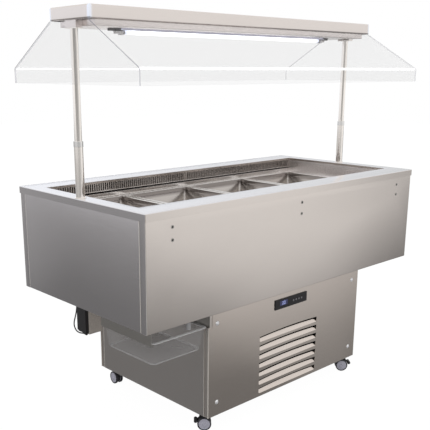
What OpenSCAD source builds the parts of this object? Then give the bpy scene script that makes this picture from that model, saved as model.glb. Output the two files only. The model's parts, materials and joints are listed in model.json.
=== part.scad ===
/* [Counter] */
// Length of the counter over the rim's skirt
counter_l = 1460; // [1400:10:1600]
// Depth of the counter over the rim's skirt
counter_w = 726; // [720:2:800]
// Height of the worktop above the floor
top_z = 846; // [800:1:900]
// Height of the counter's underside above the floor
floor_z = 467; // [460:1:480]
// Height of the rim's folded skirt
skirt_h = 25; // [15:1:40]
// How far the skirt stands proud of the panels
skirt_proud = 3; // [2:0.5:5]
// Thickness of the steel sheet
sheet = 1.2; // [1:0.1:1.5]
// Half the depth between the two corner seams on an end
seam_y = 331; // [320:1:340]

/* [Well] */
// Half length of the opening in the worktop
mouth_x = 676; // [670:1:678]
// Half depth of the opening in the worktop
mouth_y = 266; // [266:1:270]
// Height of the upper face of the ledges that carry the pans
ledge_z = 779.7; // [770:0.1:790]
// Height of the well's floor
well_floor_z = 560; // [550:1:570]
// Distance between the centres of neighbouring pans
pan_pitch = 334; // [333:1:335]
// Depth of a pan
pan_depth = 100; // [65:5:110]

/* [Posts and canopy] */
// Distance of a post from the middle of the counter
post_x = 708; // [706:1:708]
// Diameter of the sliding rod of a post
rod_d = 25.4; // [25:0.1:25.4]
// Height of the upper end of a post sleeve
sleeve_top_z = 1015; // [980:5:1030]
// Full height of the salad bar with the canopy up
canopy_top_z = 1444; // [1440:1:1460]
// Length of the canopy cover
cover_l = 1452; // [1440:2:1460]
// Depth of the canopy cover
cover_w = 220; // [216:2:240]
// Height of the canopy cover's folded sides
cover_h = 42; // [38:1:50]
// Thickness of the clear guard sheets
guard_t = 4; // [3:0.5:4]
// Half depth between the lower edges of the guard
guard_y = 345; // [320:1:350]

/* [Cabinet and casters] */
// Middle of the lower cabinet along the counter
cabinet_x = 8; // [0:1:10]
// Length of the lower cabinet
cabinet_l = 866; // [860:1:880]
// Depth of the lower cabinet
cabinet_w = 636; // [630:2:640]
// Height of the cabinet's underside above the floor
cabinet_z = 67; // [67:1:67]
// Number of pressed louvres in a row
louvre_n = 7; // [3:1:8]
// Distance between neighbouring louvres
louvre_pitch = 34.8; // [30:0.2:38]
// Diameter of the caster wheels
wheel_d = 50.8; // [50:0.1:51]
// Distance of a wheel's axle behind its swivel
trail = 12; // [10:1:14]

/* [Hidden] */
$fn = 48;
hole = 0.5;

// Counter
panel_x = counter_l / 2 - skirt_proud;
panel_y = counter_w / 2 - skirt_proud;
under_z = top_z - sheet;
rim_r = 3;
lip_h = 10;
panel_return = 15;
seam_gap = 0.6;
rail_hole_x = 621;
rail_hole_z = [792.5, 751.5];
rail_hole_r = 3;
nut_r = 4.5;

// Well
wall_x = mouth_x + 1;
wall_y = 268;
tub_y = 310;
slot_z = 797;
grille_z = 804;
ledge_w = 14;
end_ledge_w = 20;
ledge_t = 1.5;
ledge_leg = 20;
divider_x = [-pan_pitch, 0, pan_pitch];
pan_x = [-1.5 * pan_pitch, -pan_pitch / 2, pan_pitch / 2, 1.5 * pan_pitch];
drain_at = [-529, -330];
well_drain_y = -290;
duct_foot_z = 610;
foam_z = 530;

// Pan: half sizes of the flange of a standard full-size pan, and its outline
// from the middle of the outside over the flange to the middle of the inside,
// as [height under the flange, distance in from the flange's edge, corner radius]
pan_half = [162.5, 265];
pan_z = ledge_z + 0.3;
pan_t = 1;
pan_outside = [
    [-pan_depth, 36, 22], [-pan_depth + 2, 30, 27], [-pan_depth + 8, 26.5, 30],
    [-19, 19, 37], [-16, 16, 39], [-14, 14, 40], [-3, 14, 40], [-0.8, 13, 41], [0, 10.5, 43]
];
pan_edge = [[0, 0, 22], [1.1, 0, 22]];
pan_corner_steps = 5;

// Posts and canopy
rod_r = rod_d / 2;
sleeve_r = 15;
sleeve_bore = 13.5;
collar_r = 16;
collar_z = sleeve_top_z - 2;
collar_h = 18;
run_fit = 0.05;
elbow = 1.15;
elbow_turn = [25, 35, 15];
cover_z = canopy_top_z - cover_h;
tray_x = 695;
tray_y = 96;
tray_z = 1383.8;
arm_z = 1380;
arm_x = 13;
rod_low_z = 880;
foot_plate_y = 30;
guard_gap = 0.7;
guard_end_x = post_x + collar_r + guard_gap + guard_t / 2;
guard_end_top = cover_z - 0.5;
clip_y = 104.5;
guard_path = [[clip_y, 1414], [clip_y, 1400], [guard_y, 1257], [guard_y, 1209]];
lamp_x = 530;
lamp_z = 1373;
lamp_r = 7.5;

// Cabinet
cab_x0 = cabinet_x - cabinet_l / 2;
cab_x1 = cabinet_x + cabinet_l / 2;
cab_y = cabinet_w / 2;
cab_h = floor_z - cabinet_z;
side_y = 297;
corner_leg = 25;
louvre_l = 312;
louvre_r = 29;
louvre_h = 20;
louvre_out = 8;
louvre_z = 73;
screw_dx = 391;
screw_z = [413, 118];
control_z = 409;
control_size = [185, 38.5];
display_at = [-35, 410];
led_at = [-54, 399];

// Cooling plant in the cabinet
fan_at = [10, -205, 190];
fan_r = 104;
coil_y = [-292, -246];
comp_at = [150, 70];
comp_foot = 22;
comp_h = 190;
comp_top = cabinet_z + 2 + comp_foot + comp_h;
riser = [262, 150, 5];
return_riser = [282, 180, 3.2];
coil_half = 149.5;
cold_half = 230;
cold_fan_at = [0, 96, 622];
cold_fan_r = 44;

// Drain tray
tray_rim_z = 430;
tray_box = [[-706, -357], [-461, -80]];
tray_depth = 82;
tray_edge = 2.5;

// Lamp supply under the counter
box_x = [-526, -463];
box_y = [250, 310];
box_z = 250;
driver_x = -541;
driver_z = 254;
gland_at = [-530, 322];
cable_r = 2.5;
cable_route = [
    [-534, 262, 251.2], [-534.5, 280, 249.5], [-536.5, 299, 247], [-538.5, 314, 249],
    [-540, 324, 256], [-541, 331, 269], [-540.5, 331.5, 285], [-538, 328, 303],
    [-534.5, 324, 325], [-532, 322, 350], [-531, 322, 380], [-530.5, 322, 410],
    [-530, 322, 435], [-530, 322, 452]
];
cable_sides = 10;
cable_steps = 3;

// Casters: swivel places and the way each wheel trails, seen from above
caster_x = [-388.2, 395.2];
caster_y = 277.5;
casters = [
    [caster_x[0], -caster_y, 137.4], [caster_x[1], -caster_y, -42.6],
    [caster_x[0], caster_y, -95], [caster_x[1], caster_y, -60]
];
wheel_r = wheel_d / 2;
wheel_w = 10;
wheel_in = 6;
web = 5;
axle_r = 3;
stem_r = 4.5;
plate_z = 64;
pedal_pivot = [26, 47];
pedal_roll = [31, wheel_r + 10.5];
pedal_roll_r = 6.5;

// ---- shared shapes ----

// A block between its lowest and its highest corner
module block(low, high) {
    translate(low) cube(high - low);
}

// A rectangle with round corners, centred
module round_rect(l, w, r) {
    square([l - 2 * r, w], center = true);
    square([l, w - 2 * r], center = true);
    for (x = [-1, 1], y = [-1, 1])
        translate([x * (l / 2 - r), y * (w / 2 - r)]) circle(r);
}

// The children on the front and, mirrored, on the back
module front_and_back() {
    children();
    mirror([0, 1, 0]) children();
}

// The children on the right and, mirrored, on the left
module right_and_left() {
    children();
    mirror([1, 0, 0]) children();
}

// A cylinder along Y from a point
module along_y(at, r, h) {
    translate(at) rotate([-90, 0, 0]) cylinder(r = r, h = h);
}

// A round pipe through a list of points, with a slightly fuller elbow at each bend
module pipe_run(points, r) {
    for (i = [0 : len(points) - 2]) {
        step = points[i + 1] - points[i];
        long = norm(step);
        translate(points[i])
            rotate([0, acos(step[2] / long), atan2(step[1], step[0])])
                cylinder(r = r, h = long);
        if (i > 0) translate(points[i]) rotate(elbow_turn) sphere(r * elbow);
    }
}

// The points of a rectangle with round corners at one height
function ring(half, inset, r, z) = [
    for (q = [0 : 3], s = [0 : pan_corner_steps])
        let (
            a = 90 * q + 90 * s / pan_corner_steps,
            cx = (q == 0 || q == 3 ? 1 : -1) * (half[0] - inset - r),
            cy = (q < 2 ? 1 : -1) * (half[1] - inset - r)
        ) [cx + r * cos(a), cy + r * sin(a), z]
];

// A closed skin over rings that all hold the same number of points
module loft(rings) {
    n = len(rings[0]);
    last = len(rings) - 1;
    polyhedron(
        points = [for (one = rings, p = one) p],
        faces = concat(
            [[for (i = [0 : n - 1]) i]],
            [for (k = [0 : last - 1], i = [0 : n - 1])
                let (j = (i + 1) % n) [k * n + i, (k + 1) * n + i, (k + 1) * n + j, k * n + j]],
            [[for (i = [n - 1 : -1 : 0]) last * n + i]]
        )
    );
}

// An open-topped shell: its outline outside, over the edge, and inside
module shell_loft(half, outside, edge, t) {
    inside = [for (k = [len(outside) - 1 : -1 : 0])
        [outside[k][0] + t, outside[k][1] + t, max(outside[k][2] - t, 1)]];
    outline = concat(outside, edge, inside);
    loft([for (o = outline) ring(half, o[1], o[2], o[0])]);
}

// ---- counter ----

module worktop_rim() {
    color([0.87, 0.87, 0.88]) difference() {
        union() {
            translate([0, 0, under_z]) linear_extrude(sheet)
                round_rect(counter_l, counter_w, rim_r);
            translate([0, 0, top_z - skirt_h]) linear_extrude(skirt_h) difference() {
                round_rect(counter_l, counter_w, rim_r);
                round_rect(counter_l - 2 * sheet, counter_w - 2 * sheet, rim_r - sheet);
            }
            translate([0, 0, top_z - skirt_h]) linear_extrude(sheet) difference() {
                round_rect(counter_l, counter_w, rim_r);
                square([2 * panel_x, 2 * panel_y], center = true);
            }
            translate([0, 0, top_z - lip_h]) linear_extrude(lip_h)
                square([2 * (mouth_x + sheet), 2 * (mouth_y + sheet)], center = true);
        }
        block([-mouth_x, -mouth_y, top_z - lip_h - 1], [mouth_x, mouth_y, top_z + 1]);
        for (x = [-post_x, post_x])
            translate([x, 0, top_z - skirt_h]) cylinder(r = sleeve_r, h = skirt_h + 1);
    }
}

// A long panel: its face, its ends folded round the corners, and its top fold
module long_panel() {
    block([-panel_x, -panel_y, floor_z], [panel_x, -panel_y + sheet, under_z]);
    block([-panel_x, -panel_y, under_z - sheet], [panel_x, -panel_y + panel_return, under_z]);
    right_and_left() {
        block([panel_x - sheet, -panel_y, floor_z], [panel_x, -seam_y, under_z]);
        block([panel_x - panel_return, -seam_y - sheet, floor_z + panel_return],
            [panel_x, -seam_y, under_z]);
    }
}

module front_panel() {
    color([0.72, 0.70, 0.68]) difference() {
        long_panel();
        for (x = [-1, 0, 1], z = rail_hole_z)
            along_y([x * rail_hole_x, -panel_y - 1, z], nut_r, 4);
    }
}

module back_panel() {
    color([0.72, 0.70, 0.68]) mirror([0, 1, 0]) long_panel();
}

module end_panels() {
    end_y = seam_y - seam_gap;
    color([0.48, 0.46, 0.45]) right_and_left() difference() {
        union() {
            block([panel_x - sheet, -end_y, floor_z], [panel_x, end_y, under_z]);
            front_and_back()
                block([panel_x - panel_return, -end_y, floor_z + panel_return],
                    [panel_x, -end_y + sheet, under_z]);
            block([panel_x - panel_return, -end_y, under_z - sheet], [panel_x, end_y, under_z]);
        }
        translate([post_x, 0, under_z - 2]) cylinder(r = sleeve_r + hole, h = 4);
    }
}

module body_floor() {
    edge = 12;
    x = panel_x - sheet;
    y = panel_y - sheet;
    color([0.45, 0.44, 0.43]) difference() {
        block([-x, -y, floor_z], [x, y, floor_z + edge]);
        block([-x + sheet, -y + sheet, floor_z + sheet], [x - sheet, y - sheet, floor_z + edge + 1]);
        translate([drain_at[0], drain_at[1], floor_z - 1]) cylinder(r = 8 + hole, h = 4);
        translate([gland_at[0], gland_at[1], floor_z - 1]) cylinder(r = 6, h = 4);
        block([220, 120, floor_z - 1], [320, 220, floor_z + 3]);
    }
}

module rail_nuts() {
    flange_t = 0.8;
    color([0.55, 0.55, 0.56]) for (x = [-1, 0, 1], z = rail_hole_z) difference() {
        union() {
            along_y([x * rail_hole_x, -panel_y, z], nut_r, 13);
            along_y([x * rail_hole_x, -panel_y - flange_t, z], nut_r + 1.5, flange_t);
        }
        along_y([x * rail_hole_x, -panel_y - 2, z], rail_hole_r, 20);
    }
}

// ---- well ----

// Round holes for the two refrigerant pipes that rise into the well
module pipe_holes(z, h) {
    for (p = [riser, return_riser])
        translate([p[0], p[1], z]) cylinder(r = p[2] + hole, h = h);
}

module well_liner() {
    out = sheet;
    color([0.70, 0.69, 0.68]) difference() {
        union() {
            difference() {
                block([-wall_x - out, -tub_y - out, well_floor_z - out], [wall_x + out, tub_y + out, under_z]);
                block([-wall_x, -tub_y, well_floor_z], [wall_x, tub_y, under_z + 1]);
                for (s = [-1, 1]) translate([s * (wall_x + out / 2), 0, top_z - lip_h])
                    block([-5, -tub_y - 2, 0], [5, tub_y + 2, lip_h]);
            }
            translate([drain_at[0], well_drain_y, well_floor_z - 12]) cylinder(r = 11, h = 12);
        }
        translate([drain_at[0], well_drain_y, well_floor_z - 13]) cylinder(r = 8, h = 14);
        pipe_holes(well_floor_z - 3, 6);
    }
}

module insulation() {
    foam_x = 692;
    foam_y = 338;
    color([0.86, 0.80, 0.62]) difference() {
        block([-foam_x, -foam_y, foam_z], [foam_x, foam_y, top_z - 6]);
        block([-wall_x - sheet, -tub_y - sheet, well_floor_z - sheet],
            [wall_x + sheet, tub_y + sheet, top_z]);
        translate([drain_at[0], well_drain_y, foam_z - 1]) cylinder(r = 24, h = 60);
        pipe_holes(foam_z - 1, 60);
    }
}

// A slotted sheet that hangs under the rim, with a small fold along its foot
module grille(x0, x1) {
    slot_pitch = 10;
    slot_w = 5;
    n = floor((x1 - x0 - 8) / slot_pitch);
    first = (x0 + x1 - (n - 1) * slot_pitch) / 2;
    translate([0, wall_y + sheet, 0]) rotate([90, 0, 0]) linear_extrude(sheet) difference() {
        translate([x0, grille_z]) square([x1 - x0, under_z - grille_z]);
        for (i = [0 : n - 1])
            translate([first + i * slot_pitch - slot_w / 2, grille_z + 4])
                square([slot_w, 32]);
    }
    block([x0, wall_y - 1.4, grille_z], [x1, wall_y, grille_z + sheet]);
}

module air_grilles() {
    color([0.62, 0.61, 0.60]) front_and_back() {
        grille(-wall_x + 1, -0.5);
        grille(0.5, wall_x - 1);
    }
}

// The two duct walls beside the pans and the ledges that the pans hang on
module pan_supports() {
    color([0.66, 0.65, 0.64]) {
        front_and_back() {
            block([-wall_x, wall_y, duct_foot_z], [wall_x, wall_y + sheet, slot_z]);
            block([-wall_x, wall_y, slot_z - sheet], [wall_x, wall_y + 12, slot_z]);
            block([-wall_x, wall_y - ledge_w, ledge_z - ledge_t], [wall_x, wall_y, ledge_z]);
            block([-wall_x, wall_y - ledge_t, ledge_z - ledge_leg], [wall_x, wall_y, ledge_z]);
        }
        right_and_left() {
            block([wall_x - end_ledge_w, -wall_y, ledge_z - ledge_t], [wall_x, wall_y, ledge_z]);
            block([wall_x - ledge_t, -wall_y, ledge_z - ledge_leg], [wall_x, wall_y, ledge_z]);
        }
    }
}

module divider_bars() {
    half_base = 12;
    half_web = 4;
    between = wall_y - ledge_w - 3;
    reach = wall_y - 6;
    foot = ledge_z - 3.7;
    color([0.74, 0.73, 0.72]) for (x = divider_x) {
        block([x - half_base, -between, foot], [x + half_base, between, ledge_z]);
        block([x - half_web, -reach, ledge_z], [x + half_web, reach, ledge_z + 1.5]);
    }
}

module pan(x) {
    color([0.72, 0.71, 0.71]) translate([x, 0, pan_z])
        shell_loft(pan_half, pan_outside, pan_edge, pan_t);
}

module pan_1() {
    pan(pan_x[0]);
}

module pan_2() {
    pan(pan_x[1]);
}

module pan_3() {
    pan(pan_x[2]);
}

module pan_4() {
    pan(pan_x[3]);
}

// Finned coil with the plate that carries its fan
module evaporator() {
    fin_n = 24;
    fin_pitch = 2 * cold_half / (fin_n - 1);
    tube_y = [10, 34, 58];
    tube_z = [590, 615, 640];
    half = cold_half;
    color([0.75, 0.76, 0.78]) {
        for (i = [0 : fin_n - 1])
            translate([i * fin_pitch - half, -2, 575]) cube([1, 72, 80]);
        for (y = tube_y, z = tube_z)
            translate([-half - 12, y, z]) rotate([0, 90, 0]) cylinder(r = 4.5, h = 2 * half + 24);
        for (x = [-half - 12, half + 11])
            block([x, -2, well_floor_z], [x + 2, 106, 665]);
    }
    color([0.62, 0.61, 0.60]) difference() {
        block([-half - 10, 102, well_floor_z], [half + 11, 103.2, 665]);
        along_y([cold_fan_at[0], 100, cold_fan_at[2]], cold_fan_r + 2.5, 6);
    }
    color([0.20, 0.20, 0.21]) {
        along_y([cold_fan_at[0], 74, cold_fan_at[2]], 17, 12);
        along_y([cold_fan_at[0], 86, cold_fan_at[2]], 2.5, 22);
        for (s = [-1, 1])
            block([cold_fan_at[0] + s * 34 - 26, 78, cold_fan_at[2] - 3],
                [cold_fan_at[0] + s * 34 + 26, 81, cold_fan_at[2] + 3]);
        for (s = [-1, 1])
            block([cold_fan_at[0] + s * 58.5 - 1.5, 78, cold_fan_at[2] - 3],
                [cold_fan_at[0] + s * 58.5 + 1.5, 102, cold_fan_at[2] + 3]);
    }
}

// A fan rotor on a shaft along Y: hub with bore, and pitched blades
module fan_rotor(r, hub_r, depth, bore_r, blades) {
    blade_t = 1.6;
    rotate([-90, 0, 0]) difference() {
        union() {
            cylinder(r = hub_r, h = depth);
            for (i = [0 : blades - 1]) intersection() {
                rotate([0, 0, i * 360 / blades]) translate([0, 0, depth / 2]) rotate([32, 0, 0])
                    translate([0, -r * 0.28, -blade_t / 2]) cube([r, r * 0.56, blade_t]);
                cylinder(r = r, h = depth);
            }
        }
        translate([0, 0, -1]) cylinder(r = bore_r, h = depth + 2);
    }
}

module evaporator_fan() {
    color([0.16, 0.16, 0.17]) translate([cold_fan_at[0], 90, cold_fan_at[2]])
        fan_rotor(cold_fan_r, 15, 16, 2.5 + run_fit, 5);
}

// The drain's route from under the well to its open end above the tray
function drain_route(top, foot) = [
    [drain_at[0], well_drain_y, top], [drain_at[0], well_drain_y, 530],
    [drain_at[0], drain_at[1], 490], [drain_at[0], drain_at[1], foot]
];

module drain_tube() {
    top = well_floor_z - 12;
    foot = tray_rim_z + 1.5;
    color([0.80, 0.80, 0.82]) difference() {
        pipe_run(drain_route(top, foot), 8);
        pipe_run(drain_route(top + 1, foot - 1), 6.5);
    }
}

module drain_tray_rails() {
    lip = 10;
    rail_t = 1.5;
    rail_gap = 0.3;
    rail_z = tray_rim_z - tray_edge - rail_t - rail_gap;
    y0 = tray_box[0][1] - 1;
    y1 = -95;
    color([0.66, 0.65, 0.64]) {
        block([tray_box[0][0] - 4, y0, rail_z], [tray_box[0][0] - 4 + rail_t, y1, floor_z]);
        block([tray_box[0][0] - 4, y0, rail_z], [tray_box[0][0] - 4 + lip, y1, rail_z + rail_t]);
        block([tray_box[1][0] + 2.5, y0, rail_z], [tray_box[1][0] + 4, y1, floor_z]);
        block([tray_box[1][0] + 4 - lip, y0, rail_z], [tray_box[1][0] + 4, y1, rail_z + rail_t]);
    }
}

module drain_tray() {
    half = (tray_box[1] - tray_box[0]) / 2;
    middle = (tray_box[1] + tray_box[0]) / 2;
    outside = [
        [-tray_depth, 26, 26], [-tray_depth + 3, 20, 32], [-tray_depth + 10, 16, 34],
        [-14, 10.5, 38], [-6, 10, 38], [-tray_edge, 10, 38]
    ];
    color([0.85, 0.86, 0.87, 0.5]) translate([middle[0], middle[1], tray_rim_z])
        shell_loft(half, outside, [[-tray_edge, 0, 44], [0, 0, 44]], tray_edge);
}

// ---- posts ----

module post_sleeves() {
    color([0.82, 0.81, 0.80]) for (x = [-post_x, post_x])
        translate([x, 0, floor_z + sheet]) difference() {
            cylinder(r = sleeve_r, h = sleeve_top_z - floor_z - sheet);
            translate([0, 0, -1]) cylinder(r = sleeve_bore, h = 600);
        }
}

module post_collars() {
    seat = sleeve_top_z - collar_z;
    color([0.88, 0.88, 0.88]) for (x = [-post_x, post_x]) translate([x, 0, collar_z]) difference() {
        cylinder(r = collar_r, h = collar_h);
        translate([0, 0, -1]) cylinder(r = rod_r + run_fit, h = collar_h + 2);
        translate([0, 0, -1]) cylinder(r = sleeve_r, h = seat + 1);
    }
}

module post_flanges() {
    color([0.80, 0.79, 0.78]) for (x = [-post_x, post_x]) translate([x, 0, top_z]) difference() {
        cylinder(r = 19, h = 2);
        translate([0, 0, -1]) cylinder(r = sleeve_r, h = 4);
    }
}

module post_rods() {
    color([0.80, 0.79, 0.78]) for (x = [-post_x, post_x]) difference() {
        union() {
            translate([x, 0, rod_low_z]) cylinder(r = rod_r, h = arm_z - rod_low_z);
            block([x - arm_x, -foot_plate_y, arm_z - 3], [x + arm_x, foot_plate_y, arm_z]);
        }
        translate([x, 0, rod_low_z - 1]) cylinder(r = rod_r - 1.5, h = 600);
    }
}

// ---- canopy ----

module canopy_cover() {
    color([0.84, 0.82, 0.79]) difference() {
        block([-cover_l / 2, -cover_w / 2, cover_z], [cover_l / 2, cover_w / 2, canopy_top_z]);
        block([-cover_l / 2 + sheet, -cover_w / 2 + sheet, cover_z - 1],
            [cover_l / 2 - sheet, cover_w / 2 - sheet, canopy_top_z - sheet]);
    }
}

module canopy_tray() {
    inner_top = canopy_top_z - sheet;
    color([0.80, 0.78, 0.75]) difference() {
        block([-tray_x, -tray_y, tray_z], [tray_x, tray_y, inner_top]);
        block([-tray_x + sheet, -tray_y + sheet, tray_z + sheet],
            [tray_x - sheet, tray_y - sheet, inner_top + 1]);
    }
}

// Folded boxes, open towards the tray, that join the rods to the cover
module canopy_brackets() {
    t = 2.5;
    end = post_x + arm_x;
    color([0.78, 0.77, 0.75]) right_and_left() difference() {
        block([tray_x, -foot_plate_y, arm_z], [end, foot_plate_y, canopy_top_z - sheet]);
        block([tray_x - 1, -foot_plate_y + t, arm_z + t],
            [end - t, foot_plate_y - t, canopy_top_z - sheet - t]);
    }
}

module lamp_reflector() {
    color([0.95, 0.95, 0.95]) translate([0, 0, tray_z]) rotate([90, 0, 90])
        linear_extrude(2 * lamp_x, center = true)
            polygon([[-24, -5.8], [-22.8, -6.2], [-12, -1.6], [12, -1.6], [22.8, -6.2], [24, -5.8],
                [13, 0], [-13, 0]]);
}

module lamp_tube() {
    color([0.98, 0.98, 1.0]) translate([-lamp_x + 8, 0, lamp_z]) rotate([0, 90, 0])
        cylinder(r = lamp_r, h = 2 * lamp_x - 16);
}

module lamp_holders() {
    color([0.30, 0.30, 0.31]) right_and_left() {
        block([lamp_x - 8, -10, lamp_z - 9], [lamp_x, 10, tray_z - 6.2]);
        block([lamp_x, -8, lamp_z - 5], [lamp_x + 20, 8, tray_z]);
        block([lamp_x + 20, -6, lamp_z + 3], [lamp_x + 45, 6, tray_z]);
    }
}

// ---- guard ----

// The outline of a bent sheet: its path moved half a thickness to each side
function side_step(path, k, d) =
    let (
        n = len(path),
        a = k == 0 ? path[1] - path[0] : path[k] - path[k - 1],
        b = k == n - 1 ? a : path[k + 1] - path[k],
        na = [-a[1], a[0]] / norm(a),
        nb = [-b[1], b[0]] / norm(b)
    ) path[k] + d * (na + nb) / (1 + na * nb);

module guard_sheet(s) {
    n = len(guard_path);
    reach = guard_end_x - guard_t / 2;
    outline = concat(
        [for (k = [0 : n - 1]) side_step(guard_path, k, guard_t / 2)],
        [for (k = [n - 1 : -1 : 0]) side_step(guard_path, k, -guard_t / 2)]
    );
    color([0.93, 0.94, 0.95, 0.35]) mirror([0, s, 0]) rotate([90, 0, 90])
        linear_extrude(2 * reach, center = true) polygon(outline);
}

module guard_front() {
    guard_sheet(1);
}

module guard_back() {
    guard_sheet(0);
}

module guard_ends() {
    outer = [for (k = [1 : 3]) side_step(guard_path, k, guard_t / 2)];
    half = concat([[0, guard_end_top], [outer[0][0], guard_end_top]], outer, [[0, outer[2][1]]]);
    color([0.93, 0.94, 0.95, 0.35]) for (x = [-guard_end_x, guard_end_x])
        translate([x, 0, 0]) rotate([90, 0, 90]) linear_extrude(guard_t, center = true) {
            polygon(half);
            mirror([1, 0]) polygon(half);
        }
}

// ---- cabinet ----

module cabinet_base() {
    in = sheet;
    lip = 25;
    t = 2;
    x0 = cab_x0 + in;
    x1 = cab_x1 - in;
    y = cab_y - in;
    color([0.42, 0.40, 0.39]) difference() {
        union() {
            block([x0, -y, cabinet_z], [x1, y, cabinet_z + t]);
            for (x = [x0 + 4, x1 - 4 - t])
                block([x, -y + corner_leg + 3, cabinet_z], [x + t, y - corner_leg - 3, cabinet_z + lip]);
            for (s = [-y, y - t])
                block([x0 + corner_leg + 3, s, cabinet_z], [x1 - corner_leg - 3, s + t, cabinet_z + lip]);
        }
        for (c = casters)
            translate([c[0], c[1], cabinet_z - 1]) cylinder(r = stem_r + 2, h = 4);
    }
}

module corner_posts() {
    t = 2;
    in = sheet;
    inset = 2;
    low = cabinet_z + t;
    color([0.55, 0.53, 0.51]) front_and_back() {
        block([cab_x0 + inset, -cab_y + in, low], [cab_x0 + inset + t, -cab_y + in + corner_leg, floor_z]);
        block([cab_x0 + inset, -cab_y + in, low], [cab_x0 + inset + corner_leg, -cab_y + in + t, floor_z]);
        block([cab_x1 - inset - t, -cab_y + in, low], [cab_x1 - inset, -cab_y + in + corner_leg, floor_z]);
        block([cab_x1 - inset - corner_leg, -cab_y + in, low], [cab_x1 - inset, -cab_y + in + t, floor_z]);
    }
}

// The upright section of a louvre's swelling, outwards from the sheet along X
module swell_section(r, top) {
    intersection() {
        translate([louvre_out - louvre_r, louvre_h]) circle(r, $fn = 96);
        square([louvre_out + 3, top]);
    }
}

// A swelling towards -Y over the length of a louvre, its two ends turned round
module swell(r, top) {
    rotate([90, 0, -90]) linear_extrude(louvre_l, center = true) swell_section(r, top);
    translate([louvre_l / 2, 0, 0]) rotate([0, 0, -90]) rotate_extrude(angle = 90)
        swell_section(r, top);
    translate([-louvre_l / 2, 0, 0]) rotate([0, 0, 180]) rotate_extrude(angle = 90)
        swell_section(r, top);
}

// The children at the foot of each louvre of a panel
module at_louvres() {
    for (i = [0 : louvre_n - 1])
        translate([cabinet_x, -cab_y, louvre_z + i * louvre_pitch]) children();
}

// A cabinet panel with a small fold down each side and a bank of pressed louvres.
// Each louvre is joined to the sheet along its foot and its ends, and open upwards
module louvred_panel() {
    fold = 4;
    difference() {
        union() {
            block([cab_x0, -cab_y, cabinet_z], [cab_x1, -cab_y + sheet, floor_z]);
            block([cab_x0, -cab_y, cabinet_z], [cab_x0 + sheet, -cab_y + fold, floor_z]);
            block([cab_x1 - sheet, -cab_y, cabinet_z], [cab_x1, -cab_y + fold, floor_z]);
            at_louvres() swell(louvre_r, louvre_h);
        }
        at_louvres() {
            swell(louvre_r - sheet, louvre_h + 1);
            block([-louvre_l / 2, -1, 2], [louvre_l / 2, 3, louvre_h]);
        }
    }
}

module cabinet_front_panel() {
    notch = [18, 65];
    color([0.52, 0.49, 0.46]) difference() {
        louvred_panel();
        block([cab_x0 - 1, -cab_y - 1, floor_z - notch[1]], [cab_x0 + notch[0], -cab_y + 5, floor_z + 1]);
        block([cabinet_x - 82, -cab_y - 1, control_z - 15], [cabinet_x + 82, -cab_y + 2, control_z + 15]);
    }
}

module cabinet_back_panel() {
    color([0.52, 0.49, 0.46]) mirror([0, 1, 0]) louvred_panel();
}

module cabinet_side_panels() {
    inset = 2;
    color([0.40, 0.38, 0.36]) for (s = [0, 1]) translate([s ? cab_x1 : cab_x0, 0, 0])
        mirror([s, 0, 0]) {
            block([0, -side_y, cabinet_z], [sheet, side_y, floor_z]);
            front_and_back() block([0, -side_y, cabinet_z + 3], [inset, -side_y + sheet, floor_z]);
        }
}

module panel_screws() {
    head_r = 8.5;
    head_h = 4;
    dome_r = (head_r * head_r + head_h * head_h) / (2 * head_h);
    color([0.85, 0.85, 0.86]) front_and_back() for (s = [-1, 1], z = screw_z)
        translate([cabinet_x + s * screw_dx, -cab_y, z]) rotate([90, 0, 0]) difference() {
            intersection() {
                cylinder(r = head_r, h = head_h);
                translate([0, 0, head_h - dome_r]) sphere(dome_r, $fn = 64);
            }
            translate([-3.5, -0.6, head_h - 1.2]) cube([7, 1.2, 2]);
            translate([-0.6, -3.5, head_h - 1.2]) cube([1.2, 7, 2]);
        }
}

module control_panel() {
    depth = 50;
    color([0.12, 0.12, 0.13]) difference() {
        union() {
            translate([cabinet_x, -cab_y, control_z]) rotate([90, 0, 0]) linear_extrude(3)
                round_rect(control_size[0], control_size[1], 2);
            block([cabinet_x - 81.5, -cab_y, control_z - 14.5],
                [cabinet_x + 81.5, -cab_y + depth, control_z + 14.5]);
        }
        block([display_at[0] - 22, -cab_y - 4, display_at[1] - 9],
            [display_at[0] + 22, -cab_y - 1.8, display_at[1] + 11]);
    }
}

module control_display() {
    color([0.55, 0.65, 0.95]) {
        block([display_at[0] - 21.5, -cab_y - 2.8, display_at[1] - 8.5],
            [display_at[0] + 21.5, -cab_y - 1.8, display_at[1] + 10.5]);
        for (i = [0 : 3]) translate([20 + 16 * i, -cab_y - 3, control_z]) rotate([90, 0, 0])
            cylinder(r = 4, h = 0.8);
    }
}

// ---- cooling plant ----

// Welded can on a foot plate with rubber mounts, hollow from below
module compressor() {
    can_r = 84;
    can_t = 8;
    can_h = comp_h;
    dome_r = 122;
    foot_h = comp_foot;
    foot_x = 92;
    foot_y = 66;
    color([0.13, 0.13, 0.14]) translate([comp_at[0], comp_at[1], cabinet_z + 2]) {
        difference() {
            union() {
                translate([0, 0, foot_h]) intersection() {
                    cylinder(r = can_r, h = can_h);
                    translate([0, 0, can_h / 2 - 3]) sphere(dome_r, $fn = 72);
                }
                translate([0, 0, 112]) cylinder(r = can_r + 4, h = 5);
                translate([-105, -80, foot_h]) cube([210, 160, 4]);
                translate([-118, -32, 70]) cube([50, 64, 62]);
            }
            translate([0, 0, foot_h - 1]) cylinder(r = can_r - can_t, h = can_h - can_t);
            for (x = [-foot_x, foot_x], y = [-foot_y, foot_y])
                translate([x, y, foot_h - 1]) cylinder(r = 6, h = 8);
        }
        for (x = [-foot_x, foot_x], y = [-foot_y, foot_y])
            translate([x, y, 0]) cylinder(r = 13, h = foot_h);
    }
}

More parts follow.
